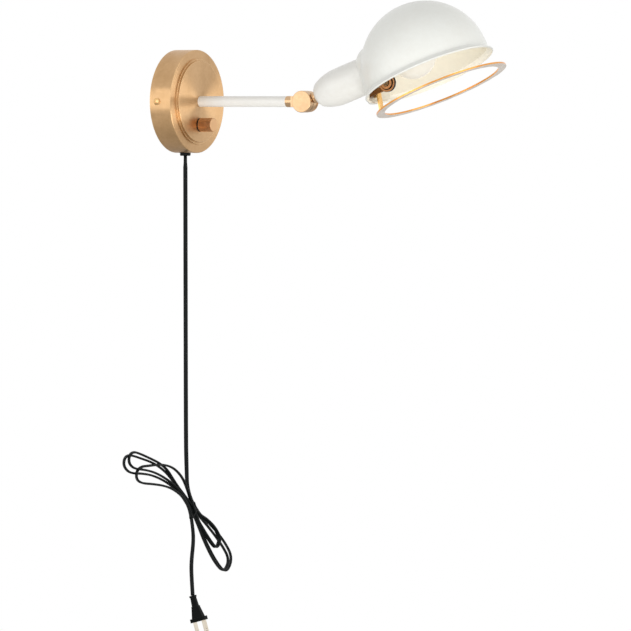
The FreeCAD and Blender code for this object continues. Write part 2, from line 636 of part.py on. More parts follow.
def make_leads():
    """Cord end inside the plate, the leads it splits into, and the two wire nuts that join them."""
    radius, spread = number("lead_radius"), number("lead_spread")
    top = 0 - number("plate_radius") + number("cord_inside")
    out, drop = number("gland_out"), 0 - number("gland_drop")
    ends = [FreeCAD.Vector(0, drop, out), FreeCAD.Vector(0, top, out)]
    path = Part.Wire([Part.LineSegment(*ends).toShape()])
    wide = FreeCAD.Vector(1, 0, 0)
    section = flat_section(path, wide, number("cord_width"), number("cord_thickness"))
    feature("supply_cord_end", swept(path, section, "supply_cord_end", []), WALL)

    side, nut_out = number("wire_nut_side"), number("wire_nut_out")
    nut_up = number("wire_nut_up") + 5
    box_low = 0 - number("knob_drop") - number("dimmer_height") / 2
    box_top = box_low + number("dimmer_height")
    box_out = number("face_back") - number("dimmer_shoulder") - number("dimmer_depth") / 2
    rear = number("nut_out") - number("nut_thickness") - number("nipple_past_nut")
    runs = [
        [(-spread, top, out), (-spread, top + 4, out), (-4, box_low - 4, box_out), (-4, box_low, box_out)],
        [(spread, top, out), (spread, top + 3, out), (spread + 6, top + 6, out - 2),
         (side + 1.5, box_low + 4, out - 3),
         (side + 4, box_low + 24, out - 3), (side + 4, 6, nut_out - 1), (side + spread, 14, nut_out),
         (side + spread, nut_up, nut_out)],
        [(-6, box_top, box_out), (-6, box_top + 4, box_out), (-8, box_top + 9, box_out - 2),
         (-side - 3, 4, nut_out),
         (-side - spread, 14, nut_out), (-side - spread, nut_up, nut_out)],
        [(spread, 0, rear), (spread, 0, rear - 4), (spread + 3, 2, rear - 8), (side - 4, 6, nut_out + 1),
         (side - spread, 14, nut_out), (side - spread, nut_up, nut_out)],
        [(-spread, 0, rear), (-spread, 0, rear - 4), (-spread - 3, 2, rear - 8), (4 - side, 6, nut_out + 1),
         (spread - side, 14, nut_out), (spread - side, nut_up, nut_out)],
    ]
    leads = []
    for i, points in enumerate(runs):
        path, radii = rounded_path(points)
        leads.append(swept(path, round_section(path, radius), f"canopy lead {i + 1}", radii))
    feature("canopy_leads", Part.Compound(leads), WALL)

    nuts = []
    for name, sign in (("wire_nut_left", "0 - "), ("wire_nut_right", "")):
        nut = turned(name, [
            ("0", "wire_nut_length"), ("0", "wire_nut_length - 4"),
            ("wire_nut_bore", "wire_nut_length - 6"), ("wire_nut_bore", "0"), ("wire_nut_radius", "0"),
            ("wire_nut_radius - wire_nut_taper", "wire_nut_length - 1")])
        nuts.append(place(nut, move(f"{sign}wire_nut_side", "wire_nut_up", "wire_nut_out", ACROSS, -90)))
    subpart(group("wire_nut_pair", *nuts), "wire_nuts", WALL)


def make_arm_leads():
    """Two lamp leads through the nipple and the arm, up to the knuckle."""
    rear = "nut_out - nut_thickness - nipple_past_nut"
    leads = [cylinder(f"arm_lead_{i}", "lead_radius", rear, "collar_end - 3",
                      at=(f"{sign}lead_spread", "0")) for i, sign in enumerate(("0 - ", ""))]
    subpart(group("arm_lead_pair", *leads), "arm_leads", WALL)


# ---------------------------------------------------------------------------------------------------
# Knuckle: a disc on the arm, a disc on the lamp head, a friction washer and a knurled clamp nut
# ---------------------------------------------------------------------------------------------------

def make_knuckle_arm_half():
    """Collar in the arm's end, with a lug and a disc on the pivot's -X side."""
    collar = turned("collar_turned", [
        ("nipple_bore_radius", "arm_end - spigot_length"), ("nipple_radius", "arm_end - spigot_length"),
        ("nipple_radius", "arm_end"), ("knuckle_neck_radius", "arm_end"),
        ("knuckle_neck_radius", "collar_end"), ("0", "collar_end"), ("0", "collar_end - 2"),
        ("nipple_bore_radius", "collar_end - 2")])
    lug = box("arm_half_lug", ("0 - knuckle_neck_radius", "0 - disc_inner"),
              ("0 - lug_half_height", "lug_half_height"), ("collar_end - 3", "pivot_out"))
    disc = turned("arm_half_disc", [
        ("0", "0 - disc_face"), ("knuckle_radius - knuckle_edge_round", "0 - disc_face"),
        ("knuckle_radius", "knuckle_edge_round - disc_face"), ("knuckle_radius", "0 - disc_inner"),
        ("0", "0 - disc_inner")], {1: ("knuckle_edge_round", 1)})
    place(disc, move(0, 0, "pivot_out", **ON_X))
    stud_hole = cylinder("arm_half_stud_hole", "stud_radius + seat_gap", "0 - stud_root", "0", "x",
                         ("0", "pivot_out"))
    blank = fuse("arm_half_blank", collar, lug, disc)
    subpart(cut("arm_half_cut", blank, stud_hole), "knuckle_arm_half", WALL)


def make_knuckle_shade_half():
    """Disc, lug and neck that the lamp head is screwed to."""
    disc = turned("shade_half_disc", [
        ("0", "friction_washer + face_gap - disc_inner"),
        ("knuckle_radius", "friction_washer + face_gap - disc_inner"),
        ("knuckle_radius", "shade_disc_back"), ("0", "shade_disc_back")])
    place(disc, move(**ON_X))
    lug = box("shade_half_lug", ("friction_washer + face_gap - disc_inner", "shade_disc_back"),
              ("0 - lug_half_height", "lug_half_height"), ("0", "neck_start + lug_in_neck"))
    neck = cylinder("shade_half_neck", "knuckle_neck_radius", "neck_start", "cup_start")
    stud_hole = cylinder("shade_half_stud_hole", "stud_radius + stud_gap", "0 - disc_inner - 1",
                         "shade_disc_back + 1", "x")
    thread = cylinder("shade_half_thread", "nipple_radius + seat_gap",
                      "cup_start + cup_floor + lock_nut_thickness + nipple_past_nut - head_nipple_length",
                      "cup_start + 1")
    blank = fuse("shade_half_blank", disc, lug, neck)
    subpart(cut("shade_half_cut", blank, stud_hole, thread), "knuckle_shade_half", HEAD)


def make_knuckle_fasteners():
    """Pivot stud, friction washer and knurled clamp nut, all on the pivot's X axis."""
    at_pivot = move(0, 0, "pivot_out", **ON_X)
    stud = turned("stud_turned", [("0", "0 - stud_root"), ("stud_radius", "0 - stud_root"),
                                  ("stud_radius", "stud_end"), ("0", "stud_end")])
    subpart(stud, "knuckle_stud", WALL, at_pivot)
    hole = "stud_radius + stud_gap"
    washer = turned("friction_washer_turned", [
        (hole, "0 - disc_inner"), ("friction_washer_radius", "0 - disc_inner"),
        ("friction_washer_radius", "friction_washer - disc_inner"), (hole, "friction_washer - disc_inner")])
    subpart(washer, "knuckle_washer", WALL, at_pivot)
    thickness = "clamp_nut_face - shade_disc_back - face_gap"
    nut = turned("clamp_nut_turned", [
        (hole, "0"), ("clamp_nut_radius", "0"), ("clamp_nut_radius", f"{thickness} - knuckle_edge_round"),
        ("clamp_nut_radius - knuckle_edge_round", thickness), ("0", thickness),
        ("0", f"{thickness} - clamp_nut_cap"), (hole, f"{thickness} - clamp_nut_cap")],
        {2: ("knuckle_edge_round", 1)})
    knurl(nut, "clamp_nut_radius", "clamp_knurl_count")
    subpart(nut, "knuckle_clamp_nut", WALL, move("shade_disc_back + face_gap", 0, "pivot_out", **ON_X))


# ---------------------------------------------------------------------------------------------------
# Lamp head: cup, socket and bulb
# ---------------------------------------------------------------------------------------------------

def make_cup():
    """Turned cup that holds the lamp socket, with its nipple, nut and leads."""
    floor = "cup_start + cup_floor"
    cup = turned("cup_turned", [
        ("nipple_radius + fit_gap", "cup_start"), ("cup_nose_radius", "cup_start"),
        ("cup_shoulder_radius", "cup_start + cup_shoulder_reach"),
        ("cup_belly_radius", "cup_start + cup_belly_reach"),
        ("cup_mouth_radius", "cup_end"), ("cup_bore_radius", "cup_end"),
        ("cup_belly_radius - cup_wall", "cup_start + cup_belly_reach + 5"),
        ("cup_belly_radius - cup_wall - cup_waist_step", "cup_start + cup_belly_reach - cup_waist_back"),
        ("cup_shoulder_radius - cup_wall", "cup_start + cup_shoulder_reach + cup_wall"),
        ("cup_nose_radius + cup_wall", floor), ("nipple_radius + fit_gap", floor)],
        {1: ("cup_shoulder_round", 1), 2: ("cup_side_round", 1), 3: ("cup_belly_round", 1)})
    screw_hole = cylinder("cup_screw_hole", "foot_screw_radius + stud_gap", "0 - cup_end", "0", "y",
                          ("0", "foot_screw_reach"))
    subpart(cut("cup_cut", cup, screw_hole), "socket_cup", HEAD)
    nipple_end = f"{floor} + lock_nut_thickness + nipple_past_nut"
    nipple = turned("head_nipple_turned", [
        ("nipple_bore_radius", f"{nipple_end} - head_nipple_length"),
        ("nipple_radius", f"{nipple_end} - head_nipple_length"),
        ("nipple_radius", nipple_end), ("nipple_bore_radius", nipple_end)])
    subpart(nipple, "head_nipple", HEAD)
    blank = hexagon("lock_nut_blank", "lock_nut_flats", floor, f"{floor} + lock_nut_thickness")
    bore = cylinder("lock_nut_bore", "nipple_radius + fit_gap", "cup_start", "cup_start + overrun")
    subpart(cut("lock_nut_cut", blank, bore), "head_lock_nut", HEAD)
    leads = [cylinder(f"head_lead_{i}", "lead_radius", f"{nipple_end} - head_nipple_length", "socket_start",
                      at=(f"{sign}lead_spread", "0")) for i, sign in enumerate(("0 - ", ""))]
    subpart(group("head_lead_pair", *leads), "socket_leads", HEAD)


def make_socket():
    """Lamp socket: insulating body, brass screw shell, centre contact and the ring that keeps it in."""
    bore = "shell_radius + shell_gap"
    body = turned("socket_turned", [
        ("0", "socket_start"), ("socket_radius", "socket_start"), ("socket_radius", "socket_end"),
        (bore, "socket_end"), (bore, "socket_floor"), ("0", "socket_floor")])
    subpart(body, "lamp_socket_body", HEAD)
    shell = turned("screw_shell_turned", [
        ("shell_radius - shell_wall", "socket_floor + 1"), ("shell_radius", "socket_floor + 1"),
        ("shell_radius", "socket_floor + 1 + shell_length"),
        ("shell_radius - shell_wall", "socket_floor + 1 + shell_length")])
    subpart(shell, "socket_screw_shell", HEAD)
    contact = cylinder("centre_contact", "contact_radius", "socket_floor", "socket_floor + contact_height")
    subpart(contact, "socket_centre_contact", HEAD)
    ring = turned("socket_ring_turned", [
        ("socket_ring_inner", "socket_end"), ("cup_bore_radius - fit_gap", "socket_end"),
        ("cup_bore_radius - fit_gap", "socket_end + socket_ring_height"),
        ("socket_ring_inner", "socket_end + socket_ring_height")])
    subpart(ring, "socket_retaining_ring", HEAD)


def make_bulb():
    """Globe bulb: blown glass, screw cap, black insulator and tip contact."""
    share = "bulb_radius/(bulb_radius + bulb_neck_fillet)"
    inner_share = "(bulb_radius - glass_wall)/(bulb_radius + bulb_neck_fillet)"
    side = "(bulb_neck_radius + bulb_neck_fillet)"
    rise = "(bulb_centre - fillet_reach)"
    neck_in = "bulb_neck_radius - glass_wall"
    glass = turned("bulb_glass_turned", [
        ("glass_foot_radius", "glass_foot_start"), ("glass_foot_radius", "cap_end + glass_foot_step"),
        ("bulb_neck_radius", "cap_end + 4"), ("bulb_neck_radius", "fillet_reach"),
        (f"{side}*{share}", f"bulb_centre - {rise}*{share}"),
        ("0", "bulb_centre + bulb_radius"), ("0", "bulb_centre + bulb_radius - glass_wall"),
        (f"{side}*{inner_share}", f"bulb_centre - {rise}*{inner_share}"),
        (neck_in, "fillet_reach"), (neck_in, "cap_end + 4"),
        ("glass_foot_radius - glass_wall", "cap_end + glass_foot_step"),
        ("glass_foot_radius - glass_wall", "glass_foot_start")],
        {3: ("bulb_neck_fillet", -1), 4: ("bulb_radius", 1), 6: ("bulb_radius - glass_wall", -1),
         7: ("bulb_neck_fillet + glass_wall", 1)})
    subpart(glass, "bulb_glass", HEAD)
    inner = "cap_radius - cap_wall"
    cap = turned("cap_turned", [
        ("cap_rim_radius", "cap_taper_start"), ("cap_radius", "cap_taper_start + cap_taper"),
        ("cap_radius", "cap_end"), (inner, "cap_end"), (inner, "cap_taper_start + cap_taper + cap_wall"),
        ("cap_rim_radius", "cap_taper_start + cap_rim")])
    subpart(cap, "bulb_screw_cap", HEAD)
    low = "insulator_start"
    insulator = turned("insulator_turned", [
        ("0", f"{low} + insulator_recess"), ("tip_radius + fit_gap", f"{low} + insulator_recess"),
        ("tip_radius + fit_gap", low),
        ("cap_rim_radius - insulator_taper", low), ("cap_rim_radius - fit_gap", "cap_taper_start"),
        ("cap_rim_radius - fit_gap", "cap_taper_start + insulator_depth"),
        ("0", "cap_taper_start + insulator_depth")])
    subpart(insulator, "bulb_insulator", HEAD)
    tip = cylinder("bulb_tip_contact", "tip_radius", "tip_start", "tip_start + tip_height")
    subpart(tip, "bulb_tip", HEAD)


# ---------------------------------------------------------------------------------------------------
# Dome shade with the boss that the cup enters
# ---------------------------------------------------------------------------------------------------

# Span and corner of a box that fills the space under a plane.
ALL_ROUND = [("0 - half_space", "half_space"), ("0 - half_space", "half_space")]
BELOW_CORNER = move("0 - half_space", "0 - half_space", "0 - half_depth")


def dome_point(radius, height):
    """Radius from the rim's axis on a sphere of this radius, at a height above the rim plane."""
    return f"sqrt(({radius})^2 - (({height}) - dome_rise)^2)"


def make_dome():
    """Spun dome with a flared, beaded lip and a round-topped boss that reaches down to the lip."""
    outer = turned("dome_outer", [
        ("0", "0"), ("lip_inner_radius + lip_foot_step", "0"), ("lip_outer_radius", "lip_bead/2"),
        ("lip_inner_radius + lip_crest_step", "lip_bead"),
        (dome_point("dome_radius", "lip_height"), "lip_height"),
        ("0", "dome_rise + dome_radius")],
        {1: ("lip_bead_round", 1), 2: ("lip_bead_round", 1), 3: ("lip_flare_round", -1),
         4: ("dome_radius", 1)})
    place(outer, RIM)
    boss = turned("boss_outer", [
        ("0", "0 - rim_drop - overrun"), ("boss_radius", "0 - rim_drop - overrun"),
        ("boss_radius", "boss_top - boss_round"), ("boss_radius - boss_round", "boss_top"),
        ("0", "boss_top")], {2: ("boss_round", 1)})
    place(boss, move(0, 0, "boss_reach", **ON_Y))
    below = box("boss_below_rim", *ALL_ROUND, ("0 - half_depth", "boss_foot"))
    place(below, RIM, BELOW_CORNER)
    trimmed_boss = cut("boss_trimmed", boss, below)
    solid = fuse("dome_solid", outer, trimmed_boss)

    inner_foot = "lip_inner_radius - lip_inner_step"
    inner_radius = "dome_radius - dome_wall"
    inner = turned("dome_inner", [
        ("0", "0 - 2"), ("lip_inner_radius", "0 - 2"), ("lip_inner_radius", "0"),
        (inner_foot, "lip_inner_height"), (dome_point(inner_radius, "lip_height"), "lip_height"),
        ("0", "dome_rise + dome_radius - dome_wall")],
        {3: ("lip_flare_round + 2", -1), 4: (inner_radius, 1)})
    place(inner, RIM)
    boss_inner = turned("boss_inner", [
        ("0", "0 - rim_drop - overrun"), ("boss_radius - dome_wall", "0 - rim_drop - overrun"),
        ("boss_radius - dome_wall", "boss_top - boss_round"),
        ("boss_radius - boss_round", "boss_top - dome_wall"), ("0", "boss_top - dome_wall")],
        {2: ("boss_round - dome_wall", 1)})
    place(boss_inner, move(0, 0, "boss_reach", **ON_Y))
    below_inner = box("boss_inner_below", *ALL_ROUND, ("0 - half_depth", "boss_foot + 1"))
    place(below_inner, RIM, BELOW_CORNER)
    trimmed_inner = cut("boss_inner_trimmed", boss_inner, below_inner)
    hole = cylinder("dome_cup_hole", "cup_mouth_radius + cup_hole_gap",
                    "boss_reach - boss_radius - overrun", "cup_end + 2")
    doc.recompute()
    blended = blend_boss(solid)
    subpart(cut("dome_cut", blended, inner, trimmed_inner, hole), "shade_dome", HEAD)


def blend_boss(solid):
    """Fillet the crease over the boss, where its round top runs into the dome."""
    centre = FreeCAD.Vector(0, number("dome_rise*cos(rim_pitch) - rim_drop"),
                            number("rim_reach - dome_rise*sin(rim_pitch)"))
    radius, size = number("dome_radius"), number("boss_blend")
    shoulder = number("boss_top - boss_round") - 0.1

    def on_crease(edge):
        ends_on_dome = all(abs(v.Point.distanceToPoint(centre) - radius) < 0.01 for v in edge.Vertexes)
        return ends_on_dome and edge.BoundBox.YMin > shoulder and edge.Length > 1

    fillet = doc.addObject("Part::Fillet", "boss_blending")
    fillet.Base = solid
    fillet.Edges = [(i, size, size) for i, edge in enumerate(solid.Shape.Edges, start=1) if on_crease(edge)]
    return fillet


# ---------------------------------------------------------------------------------------------------
# Bracket, strap and trim ring
# ---------------------------------------------------------------------------------------------------

def make_bracket():
    """Foot screwed under the cup, with an ear forward to the pivot of the trim ring."""
    near = "0 - ear_near"
    far = "0 - ear_near - ear_thickness"
    foot = box("bracket_foot", (far, "foot_right"), ("0 - ear_bottom", "0 - ear_top"),
               ("foot_start", "foot_end"))
    ear = box("bracket_ear", (far, near), ("0 - ear_bottom", "0 - ear_top"),
              ("foot_start", "ring_pivot_reach"))
    disc = cylinder("bracket_ear_disc", "ear_round", far, near, "x",
                    ("0 - ring_pivot_drop", "ring_pivot_reach"))
    hole = cylinder("bracket_pivot_hole", "pivot_screw_radius + stud_gap", "0 - 2*overrun", "0", "x",
                    ("0 - ring_pivot_drop", "ring_pivot_reach"))
    screw_hole = cylinder("bracket_screw_hole", "foot_screw_radius + stud_gap", "0 - 2*overrun", "0", "y",
                          ("0", "foot_screw_reach"))
    blank = fuse("bracket_blank", foot, ear, disc)
    subpart(cut("bracket_cut", blank, hole, screw_hole), "ring_bracket", HEAD)

    screw = turned("foot_screw_turned", [
        ("0", "0 - ear_bottom - foot_screw_head_height"),
        ("foot_screw_head_radius", "0 - ear_bottom - foot_screw_head_height"),
        ("foot_screw_head_radius", "0 - ear_bottom"), ("foot_screw_radius", "0 - ear_bottom"),
        ("foot_screw_radius", "foot_screw_tip - ear_top"), ("0", "foot_screw_tip - ear_top")])
    subpart(screw, "bracket_screw", HEAD, move(0, 0, "foot_screw_reach", **ON_Y))


def make_ring_pivot():
    """Stepped thumb disc with a central screw and its nut, on the ring's X axis."""
    at_pivot = move(0, "0 - ring_pivot_drop", "ring_pivot_reach", **ON_X)
    near = "0 - thumb_disc_near"
    step = f"{near} - thumb_disc_thickness"
    face = f"{step} - thumb_face_step"
    hole = "pivot_screw_radius + seat_gap"
    disc = turned("thumb_disc_turned", [
        (hole, near), (hole, face), ("thumb_disc_inner", face), ("thumb_disc_inner", step),
        ("thumb_disc_radius", step), ("thumb_disc_radius", near)])
    subpart(disc, "ring_thumb_disc", HEAD, at_pivot)
    nut_low = "0 - strap_near + strap_thickness + face_gap"
    screw_end = f"{nut_low} + pivot_nut_thickness + screw_past_nut"
    head = f"{face} - pivot_screw_head_height"
    screw = turned("pivot_screw_turned", [
        ("0", head), ("pivot_screw_head_radius", head), ("pivot_screw_head_radius", face),
        ("pivot_screw_radius", face), ("pivot_screw_radius", screw_end), ("0", screw_end)])
    subpart(screw, "ring_pivot_screw", HEAD, at_pivot)
    blank = hexagon("pivot_nut_blank", "pivot_nut_flats", nut_low, f"{nut_low} + pivot_nut_thickness")
    bore = cylinder("pivot_nut_bore", hole, "0 - overrun", "overrun")
    subpart(cut("pivot_nut_cut", blank, bore), "ring_pivot_nut", HEAD, at_pivot)


def make_strap():
    """Bent strap: an ear on the pivot and a leaning blade down to the trim ring."""
    near = "0 - strap_near"
    ear_side = (near, "strap_thickness - strap_near")
    bar = box("strap_ear_bar", ear_side, ("0 - strap_ear_low", "0 - ring_pivot_drop - 1"),
              ("strap_top_reach - strap_thickness", "ring_pivot_reach"))
    disc = cylinder("strap_ear_disc", "strap_ear_round", *ear_side, "x",
                    ("0 - ring_pivot_drop", "ring_pivot_reach"))
    blade = box("strap_blade", (near, "strap_width - strap_near"), ("0 - strap_length", "0"),
                ("0 - strap_thickness", "0"))
    place(blade, move(0, "0 - strap_top_drop", "strap_top_reach", ACROSS, "strap_lean"),
          move(near, "0 - strap_length", "0 - strap_thickness"))
    hole = cylinder("strap_pivot_hole", "pivot_screw_radius + stud_gap", "0 - overrun", "overrun", "x",
                    ("0 - ring_pivot_drop", "ring_pivot_reach"))
    below = box("strap_below_ring", *ALL_ROUND, ("0 - half_depth", "ring_thickness"))
    place(below, RING, ROLL, BELOW_CORNER)
    blank = fuse("strap_blank", bar, disc, blade)
    subpart(cut("strap_cut", blank, hole, below), "ring_strap", HEAD)


def make_ring():
    """Flat trim ring below the rim, a little rolled about its own outward axis."""
    ring = turned("ring_turned", [
        ("ring_radius - ring_width", "0"), ("ring_radius", "0"), ("ring_radius", "ring_thickness"),
        ("ring_radius - ring_width", "ring_thickness")])
    subpart(ring, "trim_ring", HEAD, RING, ROLL)


# ---------------------------------------------------------------------------------------------------
# Free cord: straight drop, tied hank, tail and plug
# ---------------------------------------------------------------------------------------------------

# Points of the drop from the gland to the hank, and of the tail from the hank to the plug.
DROP_ROUTE = [(0, -11.2, -63.9), (0, -11.2, -395), (-1, -12.5, -428), (-4, -15.5, -461)]
TAIL_ROUTE = [(4, -18.5, -507), (4.6, -18.5, -522), (-0.4, -18.4, -546), (-0.4, -19.2, -566.5),
              (-2, -21.5, -584)]

# Outline of the hank in the wall's plane: left lobe up and away, right lobe down, waist at the tie.
HANK_OUTLINE = [
    (-9, -461), (3.5, -461), (1.6, -476.2), (10.8, -483.8), (60, -506), (103, -540), (106, -566),
    (74, -573), (36, -541), (9, -507), (-1, -507), (2.4, -493.8), (-6.8, -486.2), (-24, -468),
    (-60, -457), (-112, -447), (-134, -429), (-156, -423), (-154, -403), (-128, -396), (-60, -413),
    (-20, -436)]


def make_cord():
    """Flat cord outside the lamp: drop, hank and tail."""
    width, thickness = number("cord_width"), number("cord_thickness")
    route = [(0, 0 - number("gland_out"), 0 - number("gland_drop"))] + DROP_ROUTE[1:]
    path, radii = rounded_path(route)
    section = flat_section(path, FreeCAD.Vector(1, 0, 0), width, thickness)
    feature("cord_drop", swept(path, section, "cord_drop", radii), WORLD)
    path, radii = rounded_path(TAIL_ROUTE)
    section = flat_section(path, FreeCAD.Vector(0, 1, 0), width, thickness)
    feature("cord_tail", swept(path, section, "cord_tail", radii), WORLD)
    hank = padded("hank_padded", "XY_Plane", HANK_OUTLINE, "hank_back", "hank_front - hank_back")
    subpart(hank, "cord_hank", WALL)


def make_tie():
    """Thin band round the hank's waist."""
    half = "tie_half_height"
    out = "(hank_front - hank_back)/2"
    outer, inner = (f"{half} + tie_band", f"{out} + tie_band"), (f"{half} + fit_gap", f"{out} + fit_gap")
    band = box("tie_outside", ("0 - tie_width/2", "tie_width/2"),
               *[(f"0 - ({side})", side) for side in outer])
    hollow = box("tie_inside", ("0 - tie_width", "tie_width"),
                 *[(f"0 - ({side})", side) for side in inner])
    centre = move("tie_x", "0 - tie_drop", "(hank_front + hank_back)/2", angle="0 - tie_slope")
    subpart(cut("tie_cut", band, hollow), "hank_tie", WALL, centre)


def make_plug():
    """Two-blade plug: strain relief, moulded body with a grip flange, and the blades."""
    frame = move("plug_x", "0 - plug_out", "0 - plug_drop", ACROSS, "180 - plug_lean")
    collar = ("collar_half_width", "collar_half_depth", "collar_corner")
    waist = ("waist_half_width", "waist_half_depth", "waist_corner")
    relief = lofted("relief", [("0", *collar), ("collar_height", *collar),
                               ("collar_height + fit_gap", *waist), ("relief_length", *collar)])
    subpart(relief, "plug_strain_relief", frame)
    top = "relief_length"
    end = "relief_length + plug_length"
    second = ("second_half_width", "second_half_depth", "second_corner")
    rim = ("flange_half_width", "flange_half_depth", "flange_corner")
    body = lofted("plug_upper", [(top, *second), (f"{top} + second_height", *second),
                                 (end, "grip_half_width", "grip_half_depth", "grip_corner")])
    flange = lofted("plug_flange", [(end, *rim), (f"{end} + flange_height", *rim)])
    face = f"{end} + flange_height"
    holes, blades = [], []
    for name, sign, width in (("left", "0 - ", "blade_width"), ("right", "", "wide_blade_width")):
        middle = f"{sign}blade_spacing/2"
        sides = ((f"0 - {width}/2", f"{width}/2"),
                 (f"{middle} - blade_thickness/2", f"{middle} + blade_thickness/2"))
        holes.append(box(f"plug_slot_{name}", *sides, (f"{face} - blade_root", f"{face} + overrun")))
        blade = box(f"blade_{name}", *sides, (f"{face} - blade_root", f"{face} + blade_length"))
        eye = cylinder(f"blade_eye_{name}", "blade_hole_radius", "0 - overrun", "overrun", "y",
                       ("0", f"{face} + blade_hole_reach"))
        blades.append(cut(f"blade_cut_{name}", blade, eye))
    subpart(cut("plug_cut", fuse("plug_blank", body, flange), *holes), "plug_body", frame)
    subpart(group("blade_pair", *blades), "plug_blades", frame)


# ---------------------------------------------------------------------------------------------------
# Build, check, write
# ---------------------------------------------------------------------------------------------------

for build in (make_canopy, make_crossbar, make_side_screws, make_arm, make_dimmer, make_gland,
              make_leads, make_arm_leads, make_knuckle_arm_half, make_knuckle_shade_half,
              make_knuckle_fasteners, make_cup, make_socket, make_bulb, make_dome, make_bracket,
              make_ring_pivot, make_strap, make_ring, make_cord, make_tie, make_plug):
    build()
doc.recompute()

for item in doc.Objects:
    if {"Invalid", "Error"} & set(item.State):
        raise RuntimeError(f"{item.Label} failed: {item.State}")
for label, item in parts.items():
    if item.Shape.isNull() or not item.Shape.isValid() or not item.Shape.Solids:
        raise RuntimeError(f"{label} has no sound shape")

os.makedirs("parts", exist_ok=True)
for label, item in parts.items():
    item.Shape.exportStep(f"parts/{label}.step")
print(f"{len(parts)} sub-parts written")
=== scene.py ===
import json
import math
import bmesh
import bpy
from mathutils import Matrix, Vector, geometry


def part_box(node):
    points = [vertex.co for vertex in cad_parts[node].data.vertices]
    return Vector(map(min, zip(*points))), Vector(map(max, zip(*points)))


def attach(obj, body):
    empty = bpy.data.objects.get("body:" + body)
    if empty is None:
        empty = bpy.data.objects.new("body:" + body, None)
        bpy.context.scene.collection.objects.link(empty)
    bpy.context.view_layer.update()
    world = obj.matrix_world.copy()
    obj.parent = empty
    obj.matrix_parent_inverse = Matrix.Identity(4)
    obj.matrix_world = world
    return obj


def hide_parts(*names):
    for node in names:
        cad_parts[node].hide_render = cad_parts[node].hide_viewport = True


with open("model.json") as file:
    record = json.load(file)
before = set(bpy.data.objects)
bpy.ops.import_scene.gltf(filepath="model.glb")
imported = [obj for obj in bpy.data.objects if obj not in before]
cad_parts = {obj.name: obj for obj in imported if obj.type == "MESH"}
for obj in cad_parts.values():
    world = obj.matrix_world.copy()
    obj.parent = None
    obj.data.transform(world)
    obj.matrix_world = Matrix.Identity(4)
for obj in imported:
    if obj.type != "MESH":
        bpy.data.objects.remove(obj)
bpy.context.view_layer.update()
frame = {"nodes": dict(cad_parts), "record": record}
scene = bpy.context.scene
MM = 0.001


def metres(*values):
    """Vector from millimetres."""
    return Vector(values) * MM


# ---------------------------------------------------------------------------------------------------
# Camera
# ---------------------------------------------------------------------------------------------------

VIEW_AZIMUTH = math.radians(-60.263)
VIEW_ELEVATION = math.radians(3.328)
CAMERA_AT = Vector((-3.83267, -2.37716, 0.00947))
SENSOR_WIDTH = 36
LENS = 217.9


def make_camera():
    """Long lens from the left and a little above, level from side to side."""
    lens = bpy.data.cameras.new("camera")
    lens.sensor_width = SENSOR_WIDTH
    lens.lens = LENS
    camera = bpy.data.objects.new("camera", lens)
    scene.collection.objects.link(camera)
    level = math.cos(VIEW_ELEVATION)
    back = Vector((math.sin(VIEW_AZIMUTH) * level, -math.cos(VIEW_AZIMUTH) * level,
                   math.sin(VIEW_ELEVATION)))
    right = Vector((0, 0, 1)).cross(back).normalized()
    turn = Matrix((right, back.cross(right), back)).transposed().to_4x4()
    camera.matrix_world = Matrix.Translation(CAMERA_AT) @ turn
    scene.camera = camera


# ---------------------------------------------------------------------------------------------------
# Materials: a Principled shader and the procedural detail that feeds it
# ---------------------------------------------------------------------------------------------------

def linear(rgb):
    """Scene colour from display levels of 0 to 255."""
    levels = [c / 255 for c in rgb]
    return [c / 12.92 if c <= 0.04045 else ((c + 0.055) / 1.055) ** 2.4 for c in levels] + [1]


